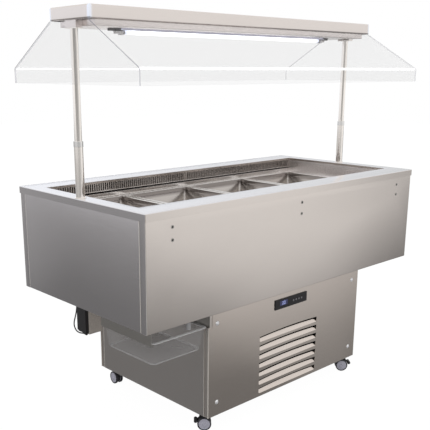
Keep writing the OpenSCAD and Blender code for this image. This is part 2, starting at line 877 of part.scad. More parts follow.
module refrigerant_pipes() {
    top = [comp_at[0] + 40, comp_at[1] + 30];
    coil_end = [fan_at[0] - coil_half - 14, fan_at[0] + coil_half + 14];
    cold_end = cold_half + 13;
    near = coil_y[1] - 12;
    color([0.76, 0.47, 0.32]) {
        pipe_run([[top[0], top[1], comp_top], [top[0], top[1], 330], [riser[0], riser[1], 380],
            [riser[0], riser[1], 590], [riser[0], 34, 590], [cold_end, 34, 590]], riser[2]);
        pipe_run([[top[0] - 80, top[1], comp_top], [top[0] - 80, top[1], 345],
            [top[0] - 80, -200, 345], [195, near, 330], [195, near, 282], [coil_end[1], near, 282]], 4);
        pipe_run([[coil_end[0], near, 100], [-175, near, 100], [-190, -230, 110], [-190, 180, 110],
            [-190, 180, 400], [return_riser[0], return_riser[1], 410],
            [return_riser[0], return_riser[1], 640], [return_riser[0], 10, 640],
            [cold_end, 10, 640]], return_riser[2]);
    }
}

// Finned coil behind the front louvres, its shroud and the fan motor behind it
module condenser() {
    fin_n = 24;
    fin_pitch = 2 * coil_half / (fin_n - 1);
    half = coil_half;
    low = cabinet_z + 2;
    color([0.30, 0.30, 0.31]) {
        for (i = [0 : fin_n - 1])
            block([fan_at[0] + i * fin_pitch - half, coil_y[0], low + 12],
                [fan_at[0] + i * fin_pitch - half + 1, coil_y[1], 310]);
        for (k = [0 : 7], y = [coil_y[0] + 12, coil_y[1] - 12])
            translate([fan_at[0] - half - 14, y, 100 + 26 * k]) rotate([0, 90, 0])
                cylinder(r = 4, h = 2 * half + 28);
        for (x = [fan_at[0] - half - 14, fan_at[0] + half + 12.5])
            block([x, coil_y[0], low], [x + 1.5, coil_y[1], 312]);
    }
    color([0.38, 0.38, 0.39]) {
        difference() {
            union() {
                block([fan_at[0] - half - 14, coil_y[1], low], [fan_at[0] + half + 14, coil_y[1] + 1.5, 312]);
                along_y([fan_at[0], coil_y[1], fan_at[2]], fan_r + 6, 40);
            }
            along_y([fan_at[0], coil_y[1] - 1, fan_at[2]], fan_r + 4, 60);
        }
        difference() {
            along_y([fan_at[0], -170, fan_at[2]], 38, 52);
            block([fan_at[0] - 20, -130, fan_at[2] + 34], [fan_at[0] + 20, -110, fan_at[2] + 40]);
        }
        along_y([fan_at[0], -222, fan_at[2]], 4, 52);
        block([fan_at[0] - 30, -150, low], [fan_at[0] + 30, -147, fan_at[2]]);
        block([fan_at[0] - 30, -150, low], [fan_at[0] + 30, -110, low + 3]);
    }
}

module condenser_fan() {
    color([0.70, 0.70, 0.72]) translate([fan_at[0], -222, fan_at[2]])
        fan_rotor(fan_r, 26, 34, 4 + run_fit, 5);
}

// ---- lamp supply ----

module junction_box() {
    t = 1.5;
    color([0.62, 0.61, 0.58]) difference() {
        union() {
            block([box_x[0], box_y[0], box_z], [box_x[1], box_y[1], floor_z]);
            block([box_x[0] + 2, box_y[0] - t, box_z + 2], [box_x[1] - 2, box_y[0], floor_z]);
        }
        block([box_x[0] + t, box_y[0] + t, box_z + t], [box_x[1] - t, box_y[1] - t, floor_z - t]);
    }
}

module lamp_driver() {
    color([0.17, 0.16, 0.17]) {
        block([driver_x, box_y[0] + 1, driver_z + 5], [box_x[0], box_y[1], floor_z - 8]);
        block([driver_x + 3, box_y[0] + 4, driver_z], [box_x[0], box_y[1] - 3, floor_z]);
    }
}

// A point on the smooth curve through the route's points
function on_route(p, k, t) =
    let (
        n = len(p),
        a = p[max(k - 1, 0)], b = p[k], c = p[min(k + 1, n - 1)], d = p[min(k + 2, n - 1)]
    ) 0.5 * (2 * b + (c - a) * t + (2 * a - 5 * b + 4 * c - d) * t * t
        + (3 * b - a - 3 * c + d) * t * t * t);

function route_points(p, steps) = concat(
    [for (k = [0 : len(p) - 2], s = [0 : steps - 1]) on_route(p, k, s / steps)],
    [p[len(p) - 1]]
);

// A round ring square to the route at one of its points
function cable_ring(p, k) =
    let (
        n = len(p),
        step = p[min(k + 1, n - 1)] - p[max(k - 1, 0)],
        go = k == 0 ? [0, 1, 0] : k == n - 1 ? [0, 0, 1] : step / norm(step),
        side = cross(go, [1, 0, 0]) / norm(cross(go, [1, 0, 0])),
        up = cross(side, go)
    ) [for (i = [0 : cable_sides - 1])
        let (a = 360 * i / cable_sides) p[k] + cable_r * (cos(a) * side + sin(a) * up)];

module lamp_cable() {
    points = route_points(cable_route, cable_steps);
    color([0.12, 0.12, 0.13]) loft([for (k = [0 : len(points) - 1]) cable_ring(points, k)]);
}

// The strain relief under the driver and the gland in the counter's floor
module cable_glands() {
    color([0.14, 0.14, 0.15]) {
        block([-538, box_y[0] + 4, driver_z - 5.5], [-530, 262, driver_z]);
        translate([gland_at[0], gland_at[1], 452]) cylinder(r = 7, h = 6);
        translate([gland_at[0], gland_at[1], 458]) cylinder(r = 9, h = floor_z - 458, $fn = 6);
        translate([gland_at[0], gland_at[1], floor_z]) cylinder(r = 5.5, h = 10);
    }
}

// ---- casters ----

// The children set down at one caster, its wheel trailing along their +X
module at_caster(c) {
    translate([c[0], c[1], 0]) rotate([0, 0, c[2]]) children();
}

module caster_plates() {
    color([0.60, 0.60, 0.60]) for (c = casters) translate([c[0], c[1], plate_z]) difference() {
        translate([-30, -30, 0]) cube([60, 60, cabinet_z - plate_z]);
        translate([0, 0, -1]) cylinder(r = stem_r + run_fit, h = 6);
    }
}

module caster_yoke(c) {
    color([0.12, 0.12, 0.13]) at_caster(c) difference() {
        union() {
            translate([0, 0, 52]) cylinder(r = 14, h = plate_z - 52.5);
            translate([0, 0, 60]) cylinder(r = stem_r, h = cabinet_z - 60);
            block([-9, -web, wheel_r + 8], [trail + 18, web, 53]);
            translate([trail, 0, wheel_r]) rotate([90, 0, 0]) cylinder(r = 21, h = 2 * web, center = true);
        }
        translate([trail, 0, wheel_r]) rotate([90, 0, 0])
            cylinder(r = axle_r + run_fit, h = 60, center = true);
        translate([pedal_pivot[0], 0, pedal_pivot[1]]) rotate([90, 0, 0])
            cylinder(r = 1.5 + run_fit, h = 60, center = true);
        block([pedal_pivot[0] - 5, -2.6, 37], [60, 2.6, 60]);
    }
}

// Two wheels on one axle, each with a hollow face round its hub
module caster_wheel(c) {
    face = [[0, wheel_in], [wheel_r - 2, wheel_in], [wheel_r, wheel_in + 2],
        [wheel_r, wheel_in + wheel_w - 2], [wheel_r - 2, wheel_in + wheel_w],
        [wheel_r - 3.5, wheel_in + wheel_w], [wheel_r - 4.5, wheel_in + wheel_w - 1],
        [8, wheel_in + wheel_w - 1], [6, wheel_in + wheel_w], [0, wheel_in + wheel_w]];
    color([0.64, 0.64, 0.69]) at_caster(c) translate([trail, 0, wheel_r]) rotate([90, 0, 0]) {
        rotate_extrude() polygon(face);
        mirror([0, 0, 1]) rotate_extrude() polygon(face);
        cylinder(r = axle_r, h = 2 * wheel_in + 2, center = true);
    }
}

// A lever in the fork's slot, with a round tread across its end
module brake_pedal(c) {
    arm_t = 2.3;
    color([0.12, 0.12, 0.13]) at_caster(c) {
        translate([pedal_pivot[0], 0, pedal_pivot[1]]) rotate([90, 0, 0]) {
            cylinder(r = 1.5, h = 2 * web, center = true);
            cylinder(r = 3.2, h = 2 * arm_t, center = true);
        }
        translate([0, arm_t, 0]) rotate([90, 0, 0]) linear_extrude(2 * arm_t)
            polygon([pedal_pivot + [trail - 12, 3], pedal_pivot + [0, -3],
                [trail + pedal_roll[0] - 4, pedal_roll[1] - 2], [trail + pedal_roll[0], pedal_roll[1] + 4]]);
        translate([trail + pedal_roll[0], 0, pedal_roll[1]]) rotate([90, 0, 0])
            cylinder(r = pedal_roll_r, h = 26, center = true);
    }
}

module caster_yoke_fl() {
    caster_yoke(casters[0]);
}

module caster_yoke_fr() {
    caster_yoke(casters[1]);
}

module caster_yoke_bl() {
    caster_yoke(casters[2]);
}

module caster_yoke_br() {
    caster_yoke(casters[3]);
}

module caster_wheel_fl() {
    caster_wheel(casters[0]);
}

module caster_wheel_fr() {
    caster_wheel(casters[1]);
}

module caster_wheel_bl() {
    caster_wheel(casters[2]);
}

module caster_wheel_br() {
    caster_wheel(casters[3]);
}

module brake_pedal_fl() {
    brake_pedal(casters[0]);
}

module brake_pedal_fr() {
    brake_pedal(casters[1]);
}

worktop_rim();
front_panel();
back_panel();
end_panels();
body_floor();
rail_nuts();
well_liner();
insulation();
air_grilles();
pan_supports();
divider_bars();
evaporator();
evaporator_fan();
drain_tube();
drain_tray_rails();
drain_tray();
pan_1();
pan_2();
pan_3();
pan_4();
post_sleeves();
post_collars();
post_flanges();
post_rods();
canopy_cover();
canopy_tray();
canopy_brackets();
lamp_reflector();
lamp_tube();
lamp_holders();
guard_front();
guard_back();
guard_ends();
cabinet_base();
corner_posts();
cabinet_front_panel();
cabinet_back_panel();
cabinet_side_panels();
panel_screws();
control_panel();
control_display();
compressor();
refrigerant_pipes();
condenser();
condenser_fan();
junction_box();
lamp_driver();
lamp_cable();
cable_glands();
caster_plates();
caster_yoke_fl();
caster_yoke_fr();
caster_yoke_bl();
caster_yoke_br();
caster_wheel_fl();
caster_wheel_fr();
caster_wheel_bl();
caster_wheel_br();
brake_pedal_fl();
brake_pedal_fr();
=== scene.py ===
import json

import bmesh
import bpy
import numpy as np
from mathutils import Matrix, Vector

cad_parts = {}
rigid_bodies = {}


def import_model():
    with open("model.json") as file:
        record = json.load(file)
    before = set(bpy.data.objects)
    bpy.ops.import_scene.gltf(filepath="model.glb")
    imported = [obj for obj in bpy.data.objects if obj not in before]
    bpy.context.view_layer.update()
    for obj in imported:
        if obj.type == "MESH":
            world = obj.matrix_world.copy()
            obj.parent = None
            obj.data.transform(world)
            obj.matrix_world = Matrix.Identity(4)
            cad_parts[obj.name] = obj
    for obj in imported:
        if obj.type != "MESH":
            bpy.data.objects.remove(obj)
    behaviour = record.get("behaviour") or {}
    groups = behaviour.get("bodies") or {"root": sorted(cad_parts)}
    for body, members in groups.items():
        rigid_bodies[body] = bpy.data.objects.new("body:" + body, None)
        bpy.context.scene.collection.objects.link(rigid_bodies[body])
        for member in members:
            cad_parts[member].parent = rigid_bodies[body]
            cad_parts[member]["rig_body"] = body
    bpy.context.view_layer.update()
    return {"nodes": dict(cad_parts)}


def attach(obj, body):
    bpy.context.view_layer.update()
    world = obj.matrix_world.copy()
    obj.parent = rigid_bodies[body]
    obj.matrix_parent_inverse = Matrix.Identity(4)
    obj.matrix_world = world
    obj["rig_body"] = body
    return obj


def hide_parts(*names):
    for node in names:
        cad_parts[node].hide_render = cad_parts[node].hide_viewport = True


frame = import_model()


# ---- Camera -----------------------------------------------------------------------------------
# The camera stands in front of the salad bar's left end, 1.25 m up, and looks 15 degrees down.
# Its place and lens were fitted to the counter's straight edges.
EYE = (-2.0133, -1.9575, 1.2491)
LOOK_RIGHT = 0.744
LOOK_DOWN = 0.259
FOCAL_PIXELS = 713.22
FRAME_PIXELS = 430
CENTRE_PIXELS = (191.44, 260.26)

eye_data = bpy.data.cameras.new("eye")
eye_data.lens = FOCAL_PIXELS / FRAME_PIXELS * eye_data.sensor_width
eye_data.shift_x = 0.5 - CENTRE_PIXELS[0] / FRAME_PIXELS
eye_data.shift_y = CENTRE_PIXELS[1] / FRAME_PIXELS - 0.5
eye = bpy.data.objects.new("eye", eye_data)
eye.location = EYE
eye.rotation_euler = (np.pi / 2 - LOOK_DOWN, 0, -LOOK_RIGHT)
bpy.context.scene.collection.objects.link(eye)
bpy.context.scene.camera = eye
bpy.context.scene.view_settings.view_transform = "Standard"


# ---- Studio -----------------------------------------------------------------------------------
# A white sweep in soft even light. The steel mirrors a white sky and a floor whose glow in
# reflections carries a painted shade that darkens towards the salad bar, most of all on its
# left, while the camera sees plain white.
class Field:
    """A node's value output. Sums, products and powers of fields add the Math nodes they need."""

    def __init__(self, graph, socket):
        self.graph, self.socket = graph, socket

    def maths(self, operation, *others, clamp=False):
        settings = {"operation": operation, "use_clamp": clamp}
        return self.graph.node("ShaderNodeMath", settings, *others)

    def __add__(self, other):
        return self.maths("ADD", self, other)

    def __sub__(self, other):
        return self.maths("SUBTRACT", self, other)

    def __rsub__(self, other):
        return self.maths("SUBTRACT", other, self)

    def __mul__(self, other):
        return self.maths("MULTIPLY", self, other)

    def __truediv__(self, other):
        return self.maths("DIVIDE", self, other)

    def __rtruediv__(self, other):
        return self.maths("DIVIDE", other, self)

    def __pow__(self, other):
        return self.maths("POWER", self, other)

    def __rpow__(self, other):
        return self.maths("POWER", other, self)

    def __gt__(self, other):
        return self.maths("GREATER_THAN", self, other)

    def __lt__(self, other):
        return self.maths("LESS_THAN", self, other)

    def __abs__(self):
        return self.maths("ABSOLUTE", self)

    def most(self, other):
        return self.maths("MAXIMUM", self, other)

    def within(self, low, high):
        """0 below low, 1 above high, and a straight ramp between them."""
        return self.maths("MULTIPLY_ADD", self, 1 / (high - low), -low / (high - low), clamp=True)

    def curve(self, *points):
        """The value that straight lines through the points (input, output) give."""
        first, last = points[0][0], points[-1][0]
        stops = [((x - first) / (last - first), (y, y, y, 1)) for x, y in points]
        return self.graph.node("ShaderNodeValToRGB", {"stops": stops}, self.within(first, last))

    __radd__ = __add__
    __rmul__ = __mul__

    def out(self, name):
        return Field(self.graph, self.socket.node.outputs[name])


class Graph:
    """A node tree that is filled by calls of one method."""

    def __init__(self, tree):
        self.tree = tree
        tree.nodes.clear()

    def node(self, kind, settings=None, *ordered, **named):
        """Adds a node of that type: its settings first, then its inputs by order or by name."""
        made = self.tree.nodes.new(kind)
        for key, value in (settings or {}).items():
            if key == "stops":
                self.set_stops(made.color_ramp, value)
            else:
                setattr(made, key, value)
        inputs = list(enumerate(ordered))
        inputs += [(key.replace("_", " "), value) for key, value in named.items()]
        for key, value in inputs:
            if isinstance(value, Field):
                self.tree.links.new(value.socket, made.inputs[key])
            else:
                made.inputs[key].default_value = value
        shown = [socket for socket in made.outputs if socket.enabled]
        return Field(self, (shown or list(made.outputs) or [made.inputs[0]])[0])

    @staticmethod
    def set_stops(ramp, stops):
        while len(ramp.elements) < len(stops):
            ramp.elements.new(1)
        for element, (place, colour) in zip(ramp.elements, stops):
            element.position, element.color = place, colour

    def mix(self, share, first, second):
        """first (1 - share) + second share, for two colours and a share from 0 to 1."""
        made = self.node("ShaderNodeMix", {"data_type": "RGBA"})
        slots = made.socket.node.inputs
        for index, value in ((0, share), (6, first), (7, second)):
            if isinstance(value, Field):
                self.tree.links.new(value.socket, slots[index])
            else:
                slots[index].default_value = value
        return Field(self, made.socket.node.outputs[2])

    def axes(self):
        """The three object coordinates, in metres."""
        at = self.node("ShaderNodeTexCoord").out("Object")
        parts = self.node("ShaderNodeSeparateXYZ", None, at)
        return parts.out("X"), parts.out("Y"), parts.out("Z")


def grey(level):
    return (level, level, level, 1)


def tone(red, green, blue):
    """The linear colour of an sRGB colour given from 0 to 255."""
    srgb = np.array([red, green, blue]) / 255
    linear = np.where(srgb <= 0.04045, srgb / 12.92, ((srgb + 0.055) / 1.055) ** 2.4)
    return (*linear.tolist(), 1)


world = bpy.data.worlds.new("white_studio")
world.use_nodes = True
bpy.context.scene.world = world
sky = Graph(world.node_tree)
ray = sky.node("ShaderNodeLightPath")
way = sky.node("ShaderNodeSeparateXYZ", None, sky.node("ShaderNodeTexCoord").out("Generated"))
behind = way.out("Y").within(0.05, 0.35) * (1 - way.out("Z").within(0.2, 0.5))
BEHIND_LEFT, BEHIND_RIGHT = (1.03, 1.05, 1.10, 1), (0.70, 0.71, 0.71, 1)
behind_tone = sky.mix(way.out("X").within(0.5, 0.9), BEHIND_LEFT, BEHIND_RIGHT)
gloss = sky.mix(behind, grey(1), behind_tone)
seen = (ray.out("Is Camera Ray") + ray.out("Is Transmission Ray")) > 0.5
lit = sky.mix(ray.out("Is Glossy Ray"), grey(0.86), gloss)
sky_shader = sky.node("ShaderNodeBackground", None, sky.mix(seen, lit, grey(1)), 1.0)
sky.node("ShaderNodeOutputWorld", None, sky_shader)

FLOOR_HALF = 14
floor_mesh = bpy.data.meshes.new("studio_floor")
floor_corners = [(x * FLOOR_HALF, y * FLOOR_HALF, 0)
                 for x, y in ((-1, -1), (1, -1), (1, 1), (-1, 1))]
floor_mesh.from_pydata(floor_corners, [], [(0, 1, 2, 3)])
studio_floor = bpy.data.objects.new("studio_floor", floor_mesh)
bpy.context.scene.collection.objects.link(studio_floor)
floor_material = bpy.data.materials.new("studio_floor")
floor_material.use_nodes = True
floor_mesh.materials.append(floor_material)
ground = Graph(floor_material.node_tree)
ground_ray = ground.node("ShaderNodeLightPath")
ground_x, ground_y, _ = ground.axes()
out_from = abs(ground_y).most(0.02)
# Painted shade: for glossy rays the floor glows darker near the salad bar and on its left, standing
# in for the shade the counter casts there.
painted_near_shade = out_from.curve((0.40, 0.30), (0.59, 0.36), (0.88, 0.50), (1.03, 0.60), (1.39, 0.74),
                          (2.04, 0.87), (3.11, 0.94), (6.0, 1.0))
painted_shade_pool = (ground_x / out_from).curve((-1, 0.30), (0, 0.62), (0.2, 0.68), (0.4, 0.88), (0.6, 1.0),
                                   (1.2, 1.0), (1.5, 0.82), (1.75, 0.66), (2.5, 0.5))
painted_left_shade = (ground_x * -1).curve((1.5, 0.23), (2.08, 0.28), (2.94, 0.34), (4.5, 0.42),
                                 (12.0, 0.8))
mirrored = (painted_near_shade * painted_shade_pool).most(painted_left_shade)
ground_seen = (ground_ray.out("Is Camera Ray") + ground_ray.out("Is Transmission Ray")) > 0.5
ground_tone = ground.mix(ground_seen, grey(0.6), grey(0.98))
ground_cloth = ground.node("ShaderNodeBsdfDiffuse", None, ground_tone)
ground_glow = ground.mix(ground_seen, mirrored, grey(1.03))
ground_white = ground.node("ShaderNodeEmission", None, ground_glow, 1.0)
ground_share = (ground_seen * 0.95).most(ground_ray.out("Is Glossy Ray"))
ground_both = ground.node("ShaderNodeMixShader", None, ground_share, ground_cloth, ground_white)
ground.node("ShaderNodeOutputMaterial", None, ground_both)


# ---- Worktop rim ------------------------------------------------------------------------------
# The bright stainless frame round the well's mouth, folded down into a 25 mm skirt outside and
# a 10 mm lip inside. It lies on the tops of the body panels and both posts pass through it.
class Finish(Graph):
    """A material: a Principled shader whose plain values are set on its own sockets."""

    def __init__(self, name, **plain):
        self.material = bpy.data.materials.new(name)
        self.material.use_nodes = True
        super().__init__(self.material.node_tree)
        self.shader = self.node("ShaderNodeBsdfPrincipled")
        for key, value in plain.items():
            self.shader.socket.node.inputs[key.replace("_", " ")].default_value = value
        self.node("ShaderNodeOutputMaterial", None, self.shader)

    def feed(self, name, value):
        self.tree.links.new(value.socket, self.shader.socket.node.inputs[name])

    def noise(self, stretch, size, detail=2.0):
        """Noise of about size cells a metre in object coordinates, stretched along each axis."""
        at = self.node("ShaderNodeTexCoord").out("Object")
        at = self.node("ShaderNodeMapping", None, at, Scale=stretch)
        return self.node("ShaderNodeTexNoise", None, Vector=at, Scale=size, Detail=detail)

    def tint(self, colour, share):
        """A colour times a share."""
        if not isinstance(colour, Field):
            colour = colour[:3]
        return self.node("ShaderNodeVectorMath", {"operation": "SCALE"}, colour, Scale=share)

    def bump(self, height, strength, distance):
        settings = {"Height": height, "Strength": strength, "Distance": distance}
        self.feed("Normal", self.node("ShaderNodeBump", None, **settings))

    def on(self, *pieces):
        for piece in pieces:
            piece.data.materials.append(self.material)


ALONG_X, ALONG_Y, ALONG_Z, NO_GRAIN = (0.03, 1, 1), (1, 0.03, 1), (1, 1, 0.03), (1, 1, 1)
GRAIN_SIZE = 600
# The end tone is the body tone painted darker and cooler, a painted shade on the end faces.
# The pale tone is steel painted on bends and edges as a highlight.
BODY_STEEL, SHADED_END_STEEL, GLINT_STEEL = tone(216, 208, 202), tone(206, 202, 203), tone(232, 226, 218)


def steel(name, base, grain, rough=0.24, fleck=0.10, cloud=0.06, painted_glint=None):
    """Brushed metal. Its tone is base (1 + fleck (n - 1/2) + cloud (m - 1/2)) for a fine noise n
    drawn out along the grain and a broad noise m. The noise n also varies the roughness. A base
    that is a function gives the tone from the finish and the object coordinates, and the last
    argument gives the share of pale, less metallic steel painted on bends and edges as a highlight."""
    finish = Finish(name, Metallic=1.0)
    fine = finish.noise(grain, GRAIN_SIZE, 3)
    broad = finish.noise([0.4 + 0.6 * part for part in grain], 6, 2)
    share = (fine - 0.5) * fleck + (broad - 0.5) * cloud + 1
    if callable(base):
        base = base(finish, *finish.axes())
    # Painted highlight: pale, less metallic steel where bends and edges catch the light.
    if painted_glint:
        pale = painted_glint(*finish.axes())
        base = finish.mix(pale, base, GLINT_STEEL)
        finish.feed("Metallic", 1 - pale)
    finish.feed("Base Color", finish.tint(base, share))
    finish.feed("Roughness", (fine - 0.5) * (1.2 * fleck) + rough)
    finish.bump(fine, 0.4 * fleck, 0.0002)
    return finish


def settle(name, form, node, soft=0.0004, smooth=30):
    """Turns a bmesh into a piece that stands for a CAD node and rides on that node's body. Its
    faces are smooth between edges of more than smooth degrees, and those edges are eased."""
    bmesh.ops.recalc_face_normals(form, faces=form.faces)
    mesh = bpy.data.meshes.new(name)
    form.to_mesh(mesh)
    form.free()
    mesh.polygons.foreach_set("use_smooth", [True] * len(mesh.polygons))
    mesh.set_sharp_from_angle(angle=np.radians(smooth))
    piece = bpy.data.objects.new(name, mesh)
    bpy.context.scene.collection.objects.link(piece)
    if soft:
        ease = piece.modifiers.new("ease", "BEVEL")
        ease.width, ease.segments = soft, 2
        ease.limit_method, ease.angle_limit = "ANGLE", np.radians(smooth)
        ease.harden_normals = True
    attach(piece, frame["nodes"][node]["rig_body"])
    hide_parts(node)
    return piece


def dressed(node, rounds=(), soft=0.0004, reshape=None):
    """A CAD node's own shape with its seams closed, the bends in rounds made as (test of an
    edge's two ends, width, steps), and its other edges eased. reshape moves a point first."""
    form = bmesh.new()
    form.from_mesh(frame["nodes"][node].data)
    bmesh.ops.remove_doubles(form, verts=form.verts, dist=2e-6)
    bmesh.ops.dissolve_limit(form, angle_limit=0.003, verts=form.verts, edges=form.edges)
    for vert in form.verts if reshape else ():
        vert.co = reshape(vert.co)
    for test, width, steps in rounds:
        chosen = [edge for edge in form.edges if test(edge.verts[0].co, edge.verts[1].co)]
        bmesh.ops.bevel(form, geom=chosen, offset=width, segments=steps, profile=0.5,
                        affect="EDGES")
    return settle(f"{node}_skin", form, node, soft)


def both(test):
    """A test of an edge that holds where both of its ends pass."""
    return lambda a, b: test(a) and test(b)


TOP_Z, BODY_X, BODY_Y, MOUTH_X, MOUTH_Y = 0.8459, 0.7268, 0.3598, 0.6765, 0.2665
rim = dressed("worktop_rim", [
    (both(lambda p: p.z > TOP_Z and (abs(p.x) > BODY_X or abs(p.y) > BODY_Y)), 0.0022, 4),
    (both(lambda p: p.z > TOP_Z and abs(p.x) < MOUTH_X and abs(p.y) < MOUTH_Y), 0.0008, 3)],
    0.0003)
# The rim's top is painted paler than its skirts as a painted highlight; the skirts take the panels'
# tones and the end faces' painted shade.
rim_steel = steel("rim_steel", lambda made, x, y, z: made.mix(
    z.within(0.8435, 0.8458), made.mix(abs(x) > 0.7292, BODY_STEEL, SHADED_END_STEEL),
    tone(226, 225, 227)), ALONG_X, 0.2, 0.05, 0.03)
rim_steel.on(rim)


# ---- Body panels ------------------------------------------------------------------------------
# The counter's long and short sides of folded stainless sheet. The long ones turn round the
# corners and meet the short ones at a seam, and all stand on the folded floor of the body.
LONG_SEAM, END_SEAM = 0.331, 0.3304
# Past these limits the corner bends carry a painted highlight.
SKIN_X, LONG_GLINT, END_GLINT = 0.7262, 0.3584, 0.3282
corner_bend = [(both(lambda p: abs(p.x) > BODY_X and abs(p.y) > BODY_Y), 0.002, 4),
               (both(lambda p: abs(p.x) > BODY_X and abs(abs(p.y) - LONG_SEAM) < 1e-4), 0.0018, 4)]
end_bend = [(both(lambda p: abs(p.x) > BODY_X and abs(abs(p.y) - END_SEAM) < 1e-4), 0.0018, 4)]
front_panel = dressed("front_panel", corner_bend)
back_panel = dressed("back_panel", corner_bend)
end_panels = dressed("end_panels", end_bend)
# The long panels' wraps round the ends take the end faces' painted shade.
long_steel = steel("long_steel", lambda made, x, y, z: made.mix(
    abs(x) > SKIN_X, BODY_STEEL, SHADED_END_STEEL), ALONG_X, 0.22,
    painted_glint=lambda x, y, z: (abs(x) > SKIN_X) * (abs(y) > LONG_GLINT) * 0.8)
long_steel.on(front_panel, back_panel)
end_steel = steel("end_steel", SHADED_END_STEEL, ALONG_Y, 0.22,
                  painted_glint=lambda x, y, z: (abs(x) > SKIN_X) * (abs(y) > END_GLINT) * 0.8)
end_steel.on(end_panels)
under_steel = steel("under_steel", tone(172, 168, 164), ALONG_X, 0.36)
under_steel.on(dressed("body_floor"))
nut_steel = steel("nut_steel", tone(168, 166, 162), NO_GRAIN, 0.34)
nut_steel.on(dressed("rail_nuts", soft=0.0002))


# ---- Well -------------------------------------------------------------------------------------
# The tub of thin steel under the rim, with a slotted grille over each long air duct, the ledges
# that carry the pans and the bars between them. The tub is welded under the rim and has foam
# round it.
liner = dressed("well_liner")
liner_steel = Finish("liner_steel", Metallic=1.0)
liner_x, liner_y, _ = liner_steel.axes()
liner_fine = liner_steel.noise(ALONG_X, GRAIN_SIZE, 3)
# Painted shade: the air ducts behind the grilles are painted dark, darkest on the left, for the
# shade inside them.
in_duct = abs(liner_y).within(0.2695, 0.274)
SHADED_DUCT_STEEL = tone(176, 170, 166)
painted_duct_shade = liner_steel.mix(liner_x.within(-0.3, 0.25), tone(58, 55, 53), SHADED_DUCT_STEEL)
liner_tone = liner_steel.mix(abs(liner_x) > 0.676, BODY_STEEL, tone(248, 243, 242))
liner_tone = liner_steel.mix(in_duct, liner_tone, painted_duct_shade)
liner_steel.feed("Base Color", liner_steel.tint(liner_tone, (liner_fine - 0.5) * 0.1 + 1))
liner_steel.feed("Roughness", (liner_fine - 0.5) * 0.12 + 0.28)
liner_steel.bump(liner_fine, 0.06, 0.0002)
liner_steel.on(liner)
well_steel = steel("well_steel", tone(234, 230, 227), ALONG_X, 0.24)
well_steel.on(dressed("pan_supports"), dressed("divider_bars", soft=0.0006))
# Painted light: the grilles' foot bar is painted near white as a highlight, and above it the grille
# is painted darker towards the right as shade.
grille_steel = steel("grille_steel", lambda made, x, y, z: made.mix(
    z.within(0.8046, 0.8066), tone(240, 236, 233),
    made.mix(x.within(-0.4, 0.3), tone(222, 217, 213), SHADED_DUCT_STEEL)), ALONG_Z, 0.26)
grille_steel.on(dressed("air_grilles", soft=0.0003))
foam = Finish("foam")
foam_at = foam.node("ShaderNodeTexCoord").out("Object")
foam_cell = foam.node("ShaderNodeTexVoronoi", None, foam_at, Scale=350)
foam.feed("Base Color", foam.tint(tone(224, 207, 160), foam_cell * 0.15 + 0.9))
foam.feed("Roughness", foam_cell * 0.1 + 0.85)
foam.bump(foam_cell, 0.4, 0.001)
foam.on(dressed("insulation", soft=0))


# ---- Pans -------------------------------------------------------------------------------------
# Four full-size food pans pressed from thin stainless steel. Each hangs by its flange on the
# well's ledges, with a small step under the flange and a rounded foot.
def ring(half_x, half_y, corner, z, steps=7):
    """A rectangle with round corners: (sx (a - r) + r cos t, sy (b - r) + r sin t, z)."""
    turn = np.radians(np.linspace(0, 90, steps + 1))
    points = []
    for quarter in range(4):
        sx, sy = ((1, 1), (-1, 1), (-1, -1), (1, -1))[quarter]
        t = turn + quarter * np.pi / 2
        x = sx * (half_x - corner) + corner * np.cos(t)
        y = sy * (half_y - corner) + corner * np.sin(t)
        points.append(np.stack([x, y, np.full_like(x, z)], 1))
    return np.concatenate(points)


def loft(rings, form=None):
    """Joins rings of as many points each by quads and closes the first and the last."""
    form = form or bmesh.new()
    rows = [[form.verts.new(point) for point in one] for one in rings]
    count = len(rows[0])
    for low, high in zip(rows, rows[1:]):
        for i in range(count):
            j = (i + 1) % count
            form.faces.new((low[i], low[j], high[j], high[i]))
    form.faces.new(rows[0])
    form.faces.new(rows[-1])
    return form


PAN_HALF = (162.5, 265)
PAN_DEPTH = 100
PAN_Z = 780
PAN_PITCH = 334
PAN_SECTION = [(-PAN_DEPTH, 36, 8), (-PAN_DEPTH + 0.6, 31.5, 10), (-PAN_DEPTH + 2.6, 28.6, 11),
               (-PAN_DEPTH + 7, 26.4, 11), (-19, 18.5, 8), (-16, 16, 8), (-14, 14, 8), (-3, 14, 8),
               (-0.8, 13, 9), (0, 10.5, 11.5), (0, 0.4, 8), (0.3, 0, 8), (0.8, 0, 8), (1.1, 0.4, 8)]
pans = []
for number in range(1, 5):
    centre = (number - 2.5) * PAN_PITCH
    inside = [(z + 1, inset + 1, max(corner - 1, 1)) for z, inset, corner in PAN_SECTION[9::-1]]
    rows = [ring(PAN_HALF[0] - inset, PAN_HALF[1] - inset, corner, z) + (centre, 0, PAN_Z)
            for z, inset, corner in PAN_SECTION + inside]
    form = loft([row / 1000 for row in rows])
    pans.append(settle(f"pan_{number}_skin", form, f"pan_{number}", 0, 50))
# Painted light by height: the flange pale as a highlight, the upper walls dark as shade, the lower
# walls and foot lighter as painted reflection.
pan_steel = steel("pan_steel", lambda made, x, y, z: made.mix(
    z.within(0.7788, 0.7800),
    made.mix(z.within(0.752, 0.764), tone(186, 180, 175), tone(134, 127, 123)),
    tone(226, 223, 220)), ALONG_Y, 0.20, 0.05)
pan_steel.on(*pans)


